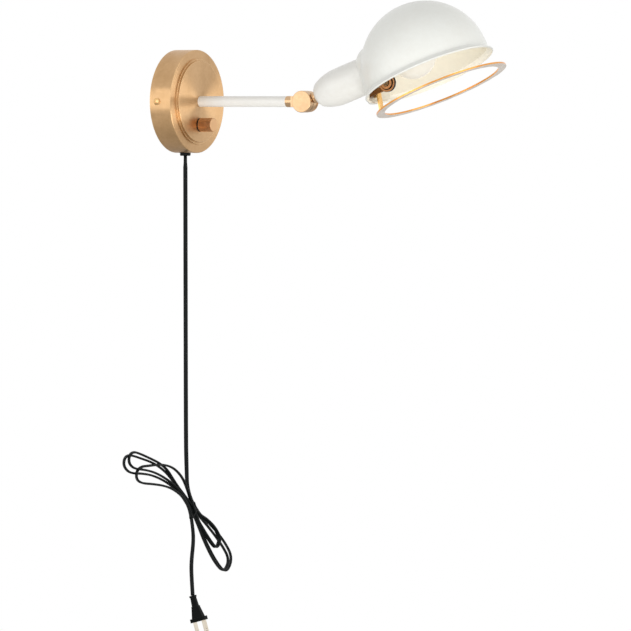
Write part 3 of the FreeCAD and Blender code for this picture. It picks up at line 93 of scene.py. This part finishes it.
class Finish:
    """One node material. Sizes are in metres, in the row frame."""

    def __init__(self, name, metallic=0.0, **numbers):
        self.material = bpy.data.materials.new(name)
        self.material.use_nodes = True
        self.tree = self.material.node_tree
        self.tree.nodes.clear()
        self.shader = self.add("ShaderNodeBsdfPrincipled")
        output = self.add("ShaderNodeOutputMaterial")
        self.feed(output.inputs["Surface"], self.shader.outputs["BSDF"])
        self.shader.inputs["Metallic"].default_value = metallic
        for socket, value in numbers.items():
            self.shader.inputs[socket.replace("_", " ")].default_value = value
        self.position = self.add("ShaderNodeTexCoord").outputs["Object"]

    def add(self, kind, **settings):
        node = self.tree.nodes.new(kind)
        for key, value in settings.items():
            setattr(node, key, value)
        return node

    def feed(self, socket, value):
        """Link a socket to another, or set its own value."""
        if isinstance(value, bpy.types.NodeSocket):
            self.tree.links.new(value, socket)
        else:
            socket.default_value = value

    def wire(self, socket, value):
        """Feed one of the shader's sockets."""
        self.feed(self.shader.inputs[socket], value)

    def calc(self, operation, first, second=0.0):
        node = self.add("ShaderNodeMath", operation=operation)
        self.feed(node.inputs[0], first)
        self.feed(node.inputs[1], second)
        return node.outputs[0]

    def vector(self, operation, first, second=(0, 0, 0)):
        node = self.add("ShaderNodeVectorMath", operation=operation)
        self.feed(node.inputs[0], first)
        self.feed(node.inputs[1], second)
        return node.outputs["Value" if operation in ("DOT_PRODUCT", "LENGTH") else "Vector"]

    def join(self, x, y, z):
        node = self.add("ShaderNodeCombineXYZ")
        for socket, value in zip(node.inputs, (x, y, z)):
            self.feed(socket, value)
        return node.outputs[0]

    def noise(self, grain, detail=3.0, where=None, fourth=None):
        """Noise whose lumps are about grain metres across."""
        node = self.add("ShaderNodeTexNoise", noise_dimensions="3D" if fourth is None else "4D")
        self.feed(node.inputs["Vector"], self.position if where is None else where)
        if fourth is not None:
            self.feed(node.inputs["W"], fourth)
        node.inputs["Scale"].default_value = 1 / grain
        node.inputs["Detail"].default_value = detail
        return node.outputs[0]

    def spread(self, value, low, high, start=0.3, end=0.7):
        """A value's range from start to end, stretched over low to high."""
        node = self.add("ShaderNodeMapRange")
        self.feed(node.inputs["Value"], value)
        for socket, number in (("From Min", start), ("From Max", end), ("To Min", low), ("To Max", high)):
            node.inputs[socket].default_value = number
        return node.outputs[0]

    def blend(self, amount, first, second):
        node = self.add("ShaderNodeMix", data_type="RGBA")
        self.feed(node.inputs[0], amount)
        self.feed(node.inputs[6], first)
        self.feed(node.inputs[7], second)
        return node.outputs[2]

    def edges(self, width):
        """1 on the sharp edges, fading to 0 within about this width."""
        bevel = self.add("ShaderNodeBevel", samples=4)
        bevel.inputs["Radius"].default_value = width
        normal = self.add("ShaderNodeNewGeometry").outputs["Normal"]
        return self.spread(self.vector("DOT_PRODUCT", bevel.outputs[0], normal), 1, 0, 0.86, 0.995)

    def bump(self, *layers):
        """Bump layers of (height, depth in metres), one on another."""
        normal = None
        for height, depth in layers:
            node = self.add("ShaderNodeBump")
            node.inputs["Distance"].default_value = depth
            node.inputs["Strength"].default_value = 1
            self.feed(node.inputs["Height"], height)
            if normal is not None:
                self.feed(node.inputs["Normal"], normal)
            normal = node.outputs[0]
        self.wire("Normal", normal)

    def axis_frame(self, centre, direction):
        """Coordinates with Z along a turned part's axis, and its distance from that axis."""
        node = self.add("ShaderNodeMapping", vector_type="TEXTURE")
        node.inputs["Location"].default_value = centre
        node.inputs["Rotation"].default_value = Vector(direction).to_track_quat("Z", "Y").to_euler()
        self.feed(node.inputs["Vector"], self.position)
        parts = self.add("ShaderNodeSeparateXYZ")
        self.feed(parts.inputs[0], node.outputs[0])
        x, y, z = parts.outputs
        radius = self.calc("SQRT", self.calc("ADD", self.calc("MULTIPLY", x, x),
                                             self.calc("MULTIPLY", y, y)))
        return x, y, z, radius

    def lathe_lines(self, centre, direction, pitch, arc=2.2):
        """Noise in fine rings round an axis: pitch apart, broken along the ring."""
        x, y, z, radius = self.axis_frame(centre, direction)
        share = arc * pitch
        safe = self.calc("MAXIMUM", radius, 1e-4)
        ring = self.join(radius, self.calc("MULTIPLY", self.calc("DIVIDE", x, safe), share),
                         self.calc("MULTIPLY", self.calc("DIVIDE", y, safe), share))
        along = self.calc("MULTIPLY", z, 1 / pitch)
        return self.noise(pitch, 2.0, ring, along)

    def brush_round(self, centre, direction):
        """Turn the shader's anisotropy across the rings round an axis."""
        arm = self.vector("SUBTRACT", self.position, tuple(centre))
        ring = self.vector("CROSS_PRODUCT", tuple(direction), arm)
        to_world = self.add("ShaderNodeVectorTransform", vector_type="VECTOR", convert_from="OBJECT",
                            convert_to="WORLD")
        self.feed(to_world.inputs[0], ring)
        self.wire("Tangent", to_world.outputs[0])


FINISHES = {}


def keep(name, finish):
    """Store a finish under the name of its material slot."""
    FINISHES[name] = finish.material


def varied(f, colour, tone, grain):
    """Base colour that drifts a little between two tones, in two sizes of patch."""
    broad = f.noise(grain * 9, 2.0)
    fine = f.noise(grain, 4.0)
    patch = f.calc("ADD", f.calc("MULTIPLY", broad, 0.6), f.calc("MULTIPLY", fine, 0.4))
    return f.blend(f.spread(patch, 0, 1, 0.35, 0.65), linear(colour), linear(tone))


def metal(name, colour, tone, roughness, axis=None, wear_and_highlight=None, pitch=0.35, groove=0.9,
          anisotropic=0.0, edge=0.35):
    """Metal: drifting tone, machining lines, finger marks in the gloss, and lighter edges that are partly
    wear and partly a painted edge highlight.
    axis is the centre and direction of the lathe lines; without one the lines are a fine grain."""
    numbers = {"Anisotropic": anisotropic, "Anisotropic_Rotation": 0.25} if axis and anisotropic else {}
    f = Finish(name, 1.0, **numbers)
    base = varied(f, colour, tone, 4 * MM)
    if axis:
        lines = f.lathe_lines(*axis, pitch * MM)
        if anisotropic:
            f.brush_round(*axis)
    else:
        lines = f.noise(pitch * MM, 4.0)
    base = f.blend(f.spread(lines, 0, 0.22), base, linear(tone))
    # Painted edge highlight, partly wear: the sharp edges are lightened toward a brighter colour.
    bright = wear_and_highlight or [min(255, c + 28) for c in colour]
    base = f.blend(f.calc("MULTIPLY", f.edges(edge * MM), 0.6), base, linear(bright))
    f.wire("Base Color", base)
    smudge = f.noise(11 * MM, 5.0)
    gloss = f.calc("ADD", f.spread(smudge, roughness - 0.05, roughness + 0.06),
                   f.spread(lines, -0.02, 0.03))
    f.wire("Roughness", gloss)
    f.bump((lines, groove * 1e-5), (f.noise(1.4 * MM, 3.0), 4e-6))
    keep(name, f)
    return f


def paint(name, colour, tone):
    """Powder coat: orange peel, slight drift in tone and gloss, and a little lighter on the edges as a
    painted edge highlight, with the coat worn thin there.
    Gives the finish and its base colour, which the caller wires."""
    f = Finish(name, 0.0, Coat_Weight=0.12, Coat_Roughness=0.2)
    base = varied(f, colour, tone, 6 * MM)
    specks = f.spread(f.noise(0.9 * MM, 1.0), 0, 0.35, 0.68, 0.74)
    base = f.blend(specks, base, linear([c - 12 for c in tone]))
    # Painted edge highlight, partly wear: the edges are a little lighter.
    base = f.blend(f.calc("MULTIPLY", f.edges(0.4 * MM), 0.35), base,
                   linear([min(255, c + 8) for c in colour]))
    f.wire("Roughness", f.spread(f.noise(9 * MM, 4.0), 0.31, 0.43))
    f.bump((f.noise(1.3 * MM, 2.0), 1.6e-5), (f.noise(7 * MM, 2.0), 3e-5))
    return f, base


def plastic(name, colour, tone, roughness, grain=0.25, depth=2.2, wear_and_highlight=None, edge=0.35, **extra):
    """Moulded plastic or rubber: fine texture, dusty drift in tone, and lighter edges that are partly scuffs
    and partly a painted edge highlight.
    """
    f = Finish(name, 0.0, **extra)
    base = varied(f, colour, tone, 3 * MM)
    # Painted edge highlight, partly scuffs: the sharp edges are lightened.
    base = f.blend(f.calc("MULTIPLY", f.edges(edge * MM), 0.5), base,
                   linear(wear_and_highlight or [min(255, c + 26) for c in colour]))
    dust = f.spread(f.noise(1.1 * MM, 5.0), 0, 0.3, 0.6, 0.8)
    base = f.blend(dust, base, linear([min(255, c + 20) for c in tone]))
    f.wire("Base Color", base)
    f.wire("Roughness", f.spread(f.noise(6 * MM, 4.0), roughness - 0.07, roughness + 0.09))
    f.bump((f.noise(grain * MM, 2.0), depth * 1e-5), (f.noise(2.4 * MM, 2.0), 1.5e-5))
    keep(name, f)


# Axes of turned parts, at rest. The cup's axis rises from the knuckle. The shade's rim and the trim ring
# are each pitched a little from it, and the dome's centre lies over the rim. Reaches are in mm.
PIVOT = metres(0, -174.3, 0)
HEAD_TILT = math.radians(20.8)
CUP_AXIS = Vector((0, -math.cos(HEAD_TILT), math.sin(HEAD_TILT)))
CUP_UP = Vector((0, math.sin(HEAD_TILT), math.cos(HEAD_TILT)))
RIM_REACH, RIM_DROP, RIM_PITCH, DOME_RISE = 162.57, 30.0, math.radians(3.67), 12.57
RIM_UP = CUP_UP * math.cos(RIM_PITCH) - CUP_AXIS * math.sin(RIM_PITCH)
RING_PITCH = math.radians(2.39)
RING_UP = CUP_UP * math.cos(RING_PITCH) - CUP_AXIS * math.sin(RING_PITCH)
DOME_CENTRE = PIVOT + (CUP_AXIS * RIM_REACH - CUP_UP * RIM_DROP + RIM_UP * DOME_RISE) * MM

WALL_AXIS = ((0, 0, 0), (0, -1, 0))
PIVOT_AXIS = (tuple(PIVOT), (1, 0, 0))
CUP_LINE = (tuple(PIVOT), tuple(CUP_AXIS))


# Painted shade in the grooves of the thumb disc and in the recess of the screw in it, as dark rings: inner
# and outer radius in millimetres.
THUMB_SHADE_RINGS = [(3.2, 4.1), (7.1, 8.2), (10.1, 10.6)]
PIVOT_SCREW_SHADE_RINGS = [(0, 1.0), (1.7, 2.6)]


def flat_tone(f, axis, colour):
    """Another tone on the faces square to an axis."""
    socket = f.shader.inputs["Base Color"]
    base = socket.links[0].from_socket
    normal = f.add("ShaderNodeTexCoord").outputs["Normal"]
    square = f.calc("ABSOLUTE", f.vector("DOT_PRODUCT", normal, tuple(axis)))
    f.wire("Base Color", f.blend(f.spread(square, 0, 0.9, 0.8, 0.95), base, linear(colour)))


def painted_shade_rings(f, axis, bands, colour):
    """Painted shade as darker rings round an axis, each from an inner to an outer radius in millimetres."""
    radius = f.axis_frame(*axis)[3]
    base = f.shader.inputs["Base Color"].links[0].from_socket
    for inner, outer in bands:
        within = f.calc("MULTIPLY", f.calc("GREATER_THAN", radius, inner * MM),
                        f.calc("LESS_THAN", radius, outer * MM))
        base = f.blend(within, base, linear(colour))
    f.wire("Base Color", base)


def middle(node):
    """Centre of a node's box."""
    low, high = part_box(node)
    return (low + high) / 2


def make_metals():
    knob_axis = (tuple(middle("dimmer_knob")), (0, -1, 0))
    thumb_axis = (tuple(middle("ring_thumb_disc")), (1, 0, 0))
    ring_axis = (tuple(middle("trim_ring")), tuple(RIM_UP))
    metal("plate_bronze", (208, 170, 126), (192, 154, 110), 0.34, WALL_AXIS, pitch=0.5, groove=0.5,
          anisotropic=0.9, edge=0.9, wear_and_highlight=(255, 224, 172))
    metal("screw_brass", (232, 196, 140), (214, 160, 100), 0.24, pitch=0.2, wear_and_highlight=(255, 236, 200))
    metal("nut_brass", (214, 182, 122), (186, 150, 92), 0.28, pitch=0.25)
    metal("dark_brass", (128, 96, 64), (98, 72, 50), 0.36, knob_axis, pitch=0.25)
    metal("shaft_brass", (216, 186, 126), (190, 156, 98), 0.25, knob_axis, pitch=0.2)
    knob = metal("knob_bronze", (208, 164, 122), (160, 118, 82), 0.36, knob_axis, pitch=0.3, groove=1.4,
                 edge=0.3, wear_and_highlight=(226, 182, 134))
    flat_tone(knob, Vector((0, 1, 0)), (206, 164, 120))
    metal("knuckle_brass", (215, 181, 142), (201, 164, 124), 0.3, PIVOT_AXIS, pitch=0.3, groove=0.6,
          anisotropic=0.5, edge=0.5, wear_and_highlight=(255, 232, 196))
    metal("clamp_bronze", (204, 164, 120), (170, 126, 86), 0.32, PIVOT_AXIS, pitch=0.3, groove=1.2,
          edge=0.3, wear_and_highlight=(240, 208, 166))
    metal("shell_brass", (216, 186, 126), (190, 154, 96), 0.26, CUP_LINE, pitch=0.3)
    metal("contact_brass", (212, 180, 118), (180, 146, 90), 0.3, pitch=0.25)
    # Painted shade: the bracket is given a dark brown, a shaded copy of the strap's brass, as it sits in
    # shade inside the dome.
    metal("bracket_brass", (150, 104, 64), (106, 70, 44), 0.34, pitch=0.4, groove=1.2, edge=0.4,
          wear_and_highlight=(220, 172, 120))
    metal("bracket_screw_brass", (206, 172, 118), (172, 136, 86), 0.28, pitch=0.2)
    thumb = metal("thumb_copper", (236, 178, 132), (198, 138, 94), 0.28, thumb_axis, pitch=0.25,
                  groove=1.2, anisotropic=0.4, edge=0.4, wear_and_highlight=(255, 214, 170))
    # Painted shade in the thumb disc's grooves and in the screw's recess.
    painted_shade_rings(thumb, thumb_axis, THUMB_SHADE_RINGS, (34, 30, 28))
    pivot = metal("pivot_screw_brass", (236, 206, 170), (200, 160, 120), 0.28, pitch=0.2)
    painted_shade_rings(pivot, thumb_axis, PIVOT_SCREW_SHADE_RINGS, (38, 32, 28))
    metal("strap_brass", (240, 196, 128), (222, 168, 96), 0.26, pitch=0.35, edge=0.4,
          wear_and_highlight=(255, 226, 170))
    ring = metal("trim_copper", (242, 186, 106), (228, 148, 70), 0.24, ring_axis, pitch=0.35, groove=0.5,
                 edge=0.3, wear_and_highlight=(255, 214, 150))
    # Painted reflection: the ring's flat faces are given a greyish beige while its edges keep the gold to
    # orange colour, as the light falls on them.
    flat_tone(ring, RING_UP, (206, 198, 186))
    metal("blade_brass", (232, 226, 214), (206, 192, 170), 0.16, pitch=0.3, wear_and_highlight=(250, 244, 232))
    metal("zinc_steel", (196, 198, 202), (168, 171, 176), 0.34, pitch=0.6, groove=1.5)
    metal("stud_steel", (192, 193, 196), (165, 166, 170), 0.28, PIVOT_AXIS, pitch=0.25)
    metal("black_steel", (58, 58, 60), (40, 40, 42), 0.38, pitch=0.3, wear_and_highlight=(120, 120, 122))
    metal("cap_aluminium", (212, 212, 212), (188, 188, 190), 0.3, CUP_LINE, pitch=0.4)
    metal("tip_solder", (176, 176, 178), (150, 150, 154), 0.36, pitch=0.5)


def inside_share(f):
    """1 on the faces of the dome and boss that look inward, 0 on those that look out."""
    normal = f.add("ShaderNodeTexCoord").outputs["Normal"]
    outward = f.vector("SUBTRACT", f.position, tuple(DOME_CENTRE))
    facing = f.vector("DOT_PRODUCT", f.vector("NORMALIZE", outward), normal)
    return f.spread(facing, 1, 0, -0.2, 0.05)


def make_paints():
    f, base = paint("arm_white", (233, 231, 226), (228, 226, 220))
    f.wire("Base Color", base)
    keep("arm_white", f)
    f, base = paint("cup_white", (231, 230, 225), (225, 223, 217))
    f.wire("Base Color", base)
    keep("cup_white", f)
    f, base = paint("shade_white", (231, 232, 227), (227, 227, 221))
    f.wire("Base Color", f.blend(inside_share(f), base, linear((250, 245, 230))))
    keep("shade_white", f)


def make_plastics():
    plastic("wire_nut_orange", (222, 104, 28), (204, 86, 20), 0.42)
    plastic("dimmer_case", (46, 46, 48), (36, 36, 38), 0.46)
    plastic("gland_black", (9, 11, 12), (6, 7, 8), 0.4, edge=0.4, wear_and_highlight=(40, 44, 46), Specular_IOR_Level=0.12)
    plastic("socket_phenolic", (44, 40, 38), (34, 30, 28), 0.3)
    plastic("ring_phenolic", (50, 46, 44), (38, 35, 33), 0.32)
    plastic("cap_insulator", (30, 28, 30), (20, 18, 20), 0.18, depth=0.8)
    plastic("plug_black", (6, 8, 8), (4, 5, 5), 0.46, wear_and_highlight=(66, 72, 72), Specular_IOR_Level=0.08)
    plastic("lead_white", (222, 221, 216), (206, 205, 198), 0.5)
    plastic("lead_black", (40, 41, 42), (30, 31, 32), 0.48)
    # The black ring at the knob's base is a washer, and its near black also stands for the shade in the gap
    # between knob and plate.
    plastic("black_ring", (12, 12, 13), (8, 8, 9), 0.5, Specular_IOR_Level=0.15)
    plastic("washer_black", (42, 40, 38), (30, 29, 28), 0.62, depth=4.0)
    plastic("cord_black", (11, 15, 15), (7, 10, 10), 0.5, grain=0.4, wear_and_highlight=(24, 29, 29),
            Specular_IOR_Level=0.13)
    plastic("tie_black", (11, 14, 14), (7, 9, 9), 0.5, Specular_IOR_Level=0.13)


def make_glass():
    """Opal glass: milky, a faint glow from within, glossy outside."""
    f = Finish("bulb_opal", 0.0, IOR=1.5, Coat_Weight=0.4, Coat_Roughness=0.05,
               Subsurface_Weight=0.25, Subsurface_Scale=0.01, Emission_Strength=0.16)
    f.shader.inputs["Subsurface Radius"].default_value = (1.0, 0.9, 0.75)
    f.shader.inputs["Emission Color"].default_value = linear((255, 246, 226))
    f.wire("Base Color", varied(f, (226, 222, 212), (220, 215, 203), 5 * MM))
    f.wire("Roughness", f.spread(f.noise(8 * MM, 3.0), 0.14, 0.24))
    f.bump((f.noise(9 * MM, 1.0), 2e-5))
    keep("bulb_opal", f)


def dress_nodes():
    """Give every CAD node the finish of its material slot."""
    for row in frame["record"]["subparts"]:
        for holder in frame["nodes"][row["node"]].material_slots:
            holder.link = "OBJECT"
            holder.material = FINISHES[row["material_slot"]]


# ---------------------------------------------------------------------------------------------------
# Mesh helpers
# ---------------------------------------------------------------------------------------------------

def mesh_piece(name, points, faces, slot, body):
    """Smooth mesh piece that takes its finish from a slot and rides on a body."""
    mesh = bpy.data.meshes.new(name)
    mesh.from_pydata(points, [], faces)
    for face in mesh.polygons:
        face.use_smooth = True
    mesh.materials.append(FINISHES[slot])
    piece = bpy.data.objects.new(name, mesh)
    scene.collection.objects.link(piece)
    build = bmesh.new()
    build.from_mesh(mesh)
    bmesh.ops.recalc_face_normals(build, faces=build.faces)
    build.to_mesh(mesh)
    build.free()
    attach(piece, body)
    return piece


def skin(rings, closed=False):
    """Faces between rings of equal count; open runs get an end face each."""
    count, sides = len(rings), len(rings[0])
    points = [point for ring in rings for point in ring]
    faces = []
    for i in range(count if closed else count - 1):
        a, b = i * sides, (i + 1) % count * sides
        faces += [(a + j, a + (j + 1) % sides, b + (j + 1) % sides, b + j) for j in range(sides)]
    if not closed:
        faces += [tuple(reversed(range(sides))), tuple((count - 1) * sides + j for j in range(sides))]
    return points, faces


# ---------------------------------------------------------------------------------------------------
# Free cord: drop, hank and tail on one line
# ---------------------------------------------------------------------------------------------------

CORD_WIDTH, CORD_THICKNESS = 5.2 * MM, 2.6 * MM
# Rings of the tube on each stretch between two control points.
CORD_STEPS = 12
DROP_ROUTE = [(0, -11.2, -63.9), (0, -11.2, -95), (0, -11.2, -395), (-1, -12.5, -428),
              (-4, -15.5, -461)]
TAIL_ROUTE = [(4, -18.5, -507), (4.6, -18.5, -522), (-0.4, -18.4, -546), (-0.4, -19.2, -566.5),
              (-2, -21.5, -584)]

# A right lobe runs out from the waist to its tip and back: its tip, its half width on the way out and on
# the way back, and how far it bows to one side. A left lobe is looser, and is given by its points. Each
# lobe lies at its own depth in the stack of turns. Millimetres, seen from the front.
WAIST = (7, -487)
LOBES = [
    (5.4, (87, -558), 13, 16, 1),
    (5.4, [(-11, -475), (-27, -460), (-58, -444), (-88, -434), (-112, -430), (-129, -428.5), (-141, -425),
           (-149.5, -417.5), (-147.5, -409), (-137, -406), (-112, -412.5), (-85, -420), (-59, -432),
           (-38, -448), (-16, -464)]),
    (0, (82, -556), 9, 16, 0),
    (0, [(-11, -471), (-29, -455), (-55, -441), (-81, -431), (-103, -426), (-118, -424), (-130, -421),
         (-138, -414.5), (-136.5, -406), (-127.5, -403), (-115, -406), (-95, -412.5), (-72, -420.5),
         (-54, -430), (-41, -443), (-18, -463)]),
    (-5.4, (60, -530), 11, 7, 1.5),
    (-5.4, [(-3, -467), (-12, -452), (-23, -439), (-43, -427), (-68, -422), (-95, -421.5), (-111, -421),
            (-121, -426), (-121, -435), (-110, -440.5), (-86, -443.5), (-59, -448), (-37, -455),
            (-17, -466), (-3, -482)]),
]
# A right lobe's outline: share of the way to its tip, and share of its half width there.
LOBE_SHAPE = [(0.1, 0.22), (0.4, 0.72), (0.74, 1.0), (1.0, 0.8),
              (1.0, -0.8), (0.74, -1.0), (0.4, -0.72), (0.1, -0.22)]
# The stack's direction in X and Y, how far its middle hangs in front of the wall, and half the gap
# between a lobe's two runs at the waist.
STACK_ALONG = (0.867, 0.495)
HANK_OUT = 19
WAIST_GAP = 1.35


def right_lobe(tip, out, back, bow):
    """Points of a slim lobe from the waist to its tip and back."""
    reach = math.dist(WAIST, tip)
    ex, ez = (tip[0] - WAIST[0]) / reach, (tip[1] - WAIST[1]) / reach
    points = []
    for along, side in LOBE_SHAPE:
        across = (out if side > 0 else back) * side + math.copysign(WAIST_GAP * (1 - along), side)
        across += bow * 4 * along * (1 - along)
        points.append((WAIST[0] + ex * reach * along - ez * across,
                       WAIST[1] + ez * reach * along + ex * across))
    return points


def hank_route():
    """Control points of the hank's turns, in millimetres."""
    route = []
    for depth, *shape in LOBES:
        points = right_lobe(*shape) if len(shape) > 1 else shape[0]
        route += [(x + STACK_ALONG[0] * depth, STACK_ALONG[1] * depth - HANK_OUT, z) for x, z in points]
    return route


def spline_line(points, steps):
    """Points read from the smooth line of a NURBS curve with these control points."""
    curve = bpy.data.curves.new("route", "CURVE")
    curve.dimensions = "3D"
    spline = curve.splines.new("NURBS")
    spline.points.add(len(points) - 1)
    for point, place in zip(spline.points, points):
        point.co = (*place, 1)
    spline.order_u = 3
    spline.use_endpoint_u = True
    spline.resolution_u = steps
    holder = bpy.data.objects.new("route", curve)
    scene.collection.objects.link(holder)
    mesh = bpy.data.meshes.new_from_object(holder)
    line = [vertex.co.copy() for vertex in mesh.vertices]
    bpy.data.objects.remove(holder)
    bpy.data.curves.remove(curve)
    bpy.data.meshes.remove(mesh)
    return line


# Each round core's outline, in degrees and points, and the groove's half height as a share of its radius.
CORE_START, CORE_STEP, CORE_POINTS = -108, 24, 10
GROOVE_SHARE = 0.74


def twin_section():
    """Outline of a flat twin cord: two round cores side by side with a groove between them."""
    core = CORD_THICKNESS / 2
    turns = [math.radians(CORE_START + CORE_STEP * i) for i in range(CORE_POINTS)]
    right = [(core + core * math.cos(t), core * math.sin(t)) for t in turns]
    groove = core * GROOVE_SHARE
    left = [(-x, -y) for x, y in right]
    return right + [(0, groove)] + left + [(0, -groove)]


def smooth_step(share):
    """0 to 1 with a soft start and end."""
    share = min(1, max(0, share))
    return share * share * (3 - 2 * share)


# How far the cord's wide side is turned from the wall's plane: (share of its length, degrees).
TWIST = [(0, 0), (0.0015, 0), (0.009, -72), (0.165, -72), (0.2, -128), (0.715, -128), (0.75, -68),
         (0.8, -68), (0.835, -128), (0.93, -128), (0.985, -94), (1, -94)]


def twist_at(share):
    """Turn of the cord's wide side at a share of its length."""
    for (start, low), (end, high) in zip(TWIST, TWIST[1:]):
        if share <= end:
            return math.radians(low + (high - low) * smooth_step((share - start) / (end - start)))
    return math.radians(TWIST[-1][1])


def make_cord():
    """Flat twin cord from the gland through the hank to the plug."""
    route = [metres(*p) for p in DROP_ROUTE + hank_route() + TAIL_ROUTE]
    line = spline_line(route, CORD_STEPS)
    runs = [(b - a).length for a, b in zip(line, line[1:])]
    total = sum(runs)
    section = twin_section()
    rings, gone, last_wide = [], 0.0, Vector((1, 0, 0))
    for i, centre in enumerate(line):
        before, after = line[max(i - 1, 0)], line[min(i + 1, len(line) - 1)]
        along = (after - before).normalized()
        angle = twist_at(gone / total)
        wide = Vector((math.cos(angle), math.sin(angle), 0))
        wide = (wide - along * wide.dot(along)).normalized()
        if wide.dot(last_wide) < 0:
            wide = -wide
        last_wide = wide
        thin = along.cross(wide)
        rings.append([centre + wide * x + thin * y for x, y in section])
        if i < len(runs):
            gone += runs[i]
    cord = mesh_piece("supply_cord", *skin(rings), "cord_black", "wall_unit")
    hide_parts("cord_drop", "cord_hank", "cord_tail")
    return cord, line


# The tie: its centre in the hank's plane in mm, the slope of the turns there, how far from the centre it
# gathers turns, its room round each turn's middle, and its section of (thickness, width) in mm.
TIE_PLACE, TIE_SLOPE = (2, -485), math.radians(-40)
TIE_REACH = 20 * MM
TIE_ROOM = 2 * MM
TIE_SPOTS = 16
TIE_SECTION = [(-0.1, -1.1), (0.45, -1.1), (0.65, -0.8), (0.65, 0.8), (0.45, 1.1), (-0.1, 1.1)]


def make_tie(line):
    """Narrow band pulled snug round the turns at the hank's waist."""
    centre = metres(TIE_PLACE[0], -HANK_OUT, TIE_PLACE[1])
    along = Vector((math.cos(TIE_SLOPE), 0, math.sin(TIE_SLOPE)))
    across, outward = Vector((-along.z, 0, along.x)), Vector((0, -1, 0))
    spots = []
    for a, b in zip(line, line[1:]):
        start, end = (a - centre).dot(along), (b - centre).dot(along)
        if start * end >= 0:
            continue
        place = a.lerp(b, start / (start - end)) - centre
        if place.length < TIE_REACH:
            turn_middle = Vector((place.dot(across), place.dot(outward)))
            for i in range(TIE_SPOTS):
                turn = math.tau * i / TIE_SPOTS
                spots.append(turn_middle + Vector((math.cos(turn), math.sin(turn))) * TIE_ROOM)
    outline = [spots[i] for i in geometry.convex_hull_2d(spots)]
    band_middle = sum(outline, Vector((0, 0))) / len(outline)
    rings = []
    for spot in outline:
        away = (spot - band_middle).normalized()
        rings.append([])
        for thick, wide in TIE_SECTION:
            edge = spot + away * thick * MM
            rings[-1].append(centre + across * edge.x + outward * edge.y + along * wide * MM)
    tie = mesh_piece("tie_band", *skin(rings, closed=True), "tie_black", "wall_unit")
    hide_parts("hank_tie")
    return tie


# ---------------------------------------------------------------------------------------------------
# Lights, floor and background
# ---------------------------------------------------------------------------------------------------

# The floor is a disc below the lamp that fades out between two shares of its radius.
FLOOR_DROP = 1.3
FLOOR_RADIUS = 4.0
FLOOR_SIDES = 96
FADE_START, FADE_END = 0.8, 0.98
AMBIENT = 0.69
LAMP_TARGET = (0, -0.15, -0.05)
SHADE_TARGET = (0, -0.33, 0.04)

# Softboxes: name, place, target, width, height in metres, and power in watts.
SOFTBOXES = [
    ("side_softbox", (-1.7, 0.55, 0.15), LAMP_TARGET, 1.8, 1.3, 7),
    ("front_softbox", (-0.5, -1.9, 0.5), LAMP_TARGET, 1.4, 0.9, 4.5),
    ("right_softbox", (1.05, -1.75, 0.1), LAMP_TARGET, 0.7, 0.9, 6),
    ("low_softbox", (-1.1, -1.2, -1.0), SHADE_TARGET, 1.2, 0.9, 17),
]


def make_world():
    """Even ambient light. The camera, reflections and glass see plain white."""
    world = bpy.data.worlds.new("studio")
    world.use_nodes = True
    tree = world.node_tree
    tree.nodes.clear()
    path = tree.nodes.new("ShaderNodeLightPath")
    seen = path.outputs["Is Camera Ray"]
    for name in ("Is Glossy Ray", "Is Transmission Ray"):
        either = tree.nodes.new("ShaderNodeMath")
        either.operation = "MAXIMUM"
        tree.links.new(seen, either.inputs[0])
        tree.links.new(path.outputs[name], either.inputs[1])
        seen = either.outputs[0]
    mix = tree.nodes.new("ShaderNodeMixShader")
    tree.links.new(seen, mix.inputs["Fac"])
    for socket, strength in ((mix.inputs[1], AMBIENT), (mix.inputs[2], 1)):
        light = tree.nodes.new("ShaderNodeBackground")
        light.inputs["Color"].default_value = (1, 1, 1, 1)
        light.inputs["Strength"].default_value = strength
        tree.links.new(light.outputs[0], socket)
    output = tree.nodes.new("ShaderNodeOutputWorld")
    tree.links.new(mix.outputs[0], output.inputs["Surface"])
    scene.world = world


def make_floor():
    """Pale floor well below the lamp, fading into the white background far out."""
    points = [(0, 0, -FLOOR_DROP)]
    for i in range(FLOOR_SIDES):
        turn = 2 * math.pi * i / FLOOR_SIDES
        points.append((FLOOR_RADIUS * math.cos(turn), FLOOR_RADIUS * math.sin(turn), -FLOOR_DROP))
    faces = [(0, 1 + i, 1 + (i + 1) % FLOOR_SIDES) for i in range(FLOOR_SIDES)]
    mesh = bpy.data.meshes.new("floor")
    mesh.from_pydata(points, [], faces)
    floor = bpy.data.objects.new("floor", mesh)
    scene.collection.objects.link(floor)
    f = Finish("floor_pale", 0.0, Roughness=0.9)
    f.shader.inputs["Base Color"].default_value = linear((216, 215, 212))
    away = f.vector("LENGTH", f.vector("MULTIPLY", f.position, (1, 1, 0)))
    f.wire("Alpha", f.spread(away, 1, 0, FADE_START * FLOOR_RADIUS, FADE_END * FLOOR_RADIUS))
    mesh.materials.append(f.material)


def softbox(name, place, target, width, height, power):
    """Area lamp that looks at a point."""
    lamp = bpy.data.lights.new(name, "AREA")
    lamp.shape = "RECTANGLE"
    lamp.size, lamp.size_y = width, height
    lamp.energy = power
    holder = bpy.data.objects.new(name, lamp)
    scene.collection.objects.link(holder)
    aim = (Vector(place) - Vector(target)).to_track_quat("Z", "Y").to_matrix().to_4x4()
    holder.matrix_world = Matrix.Translation(place) @ aim


def make_lights():
    for values in SOFTBOXES:
        softbox(*values)


make_camera()
make_metals()
make_paints()
make_plastics()
make_glass()
dress_nodes()
cord, cord_line = make_cord()
tie = make_tie(cord_line)
make_world()
make_floor()
make_lights()

scene.view_settings.view_transform = "Standard"
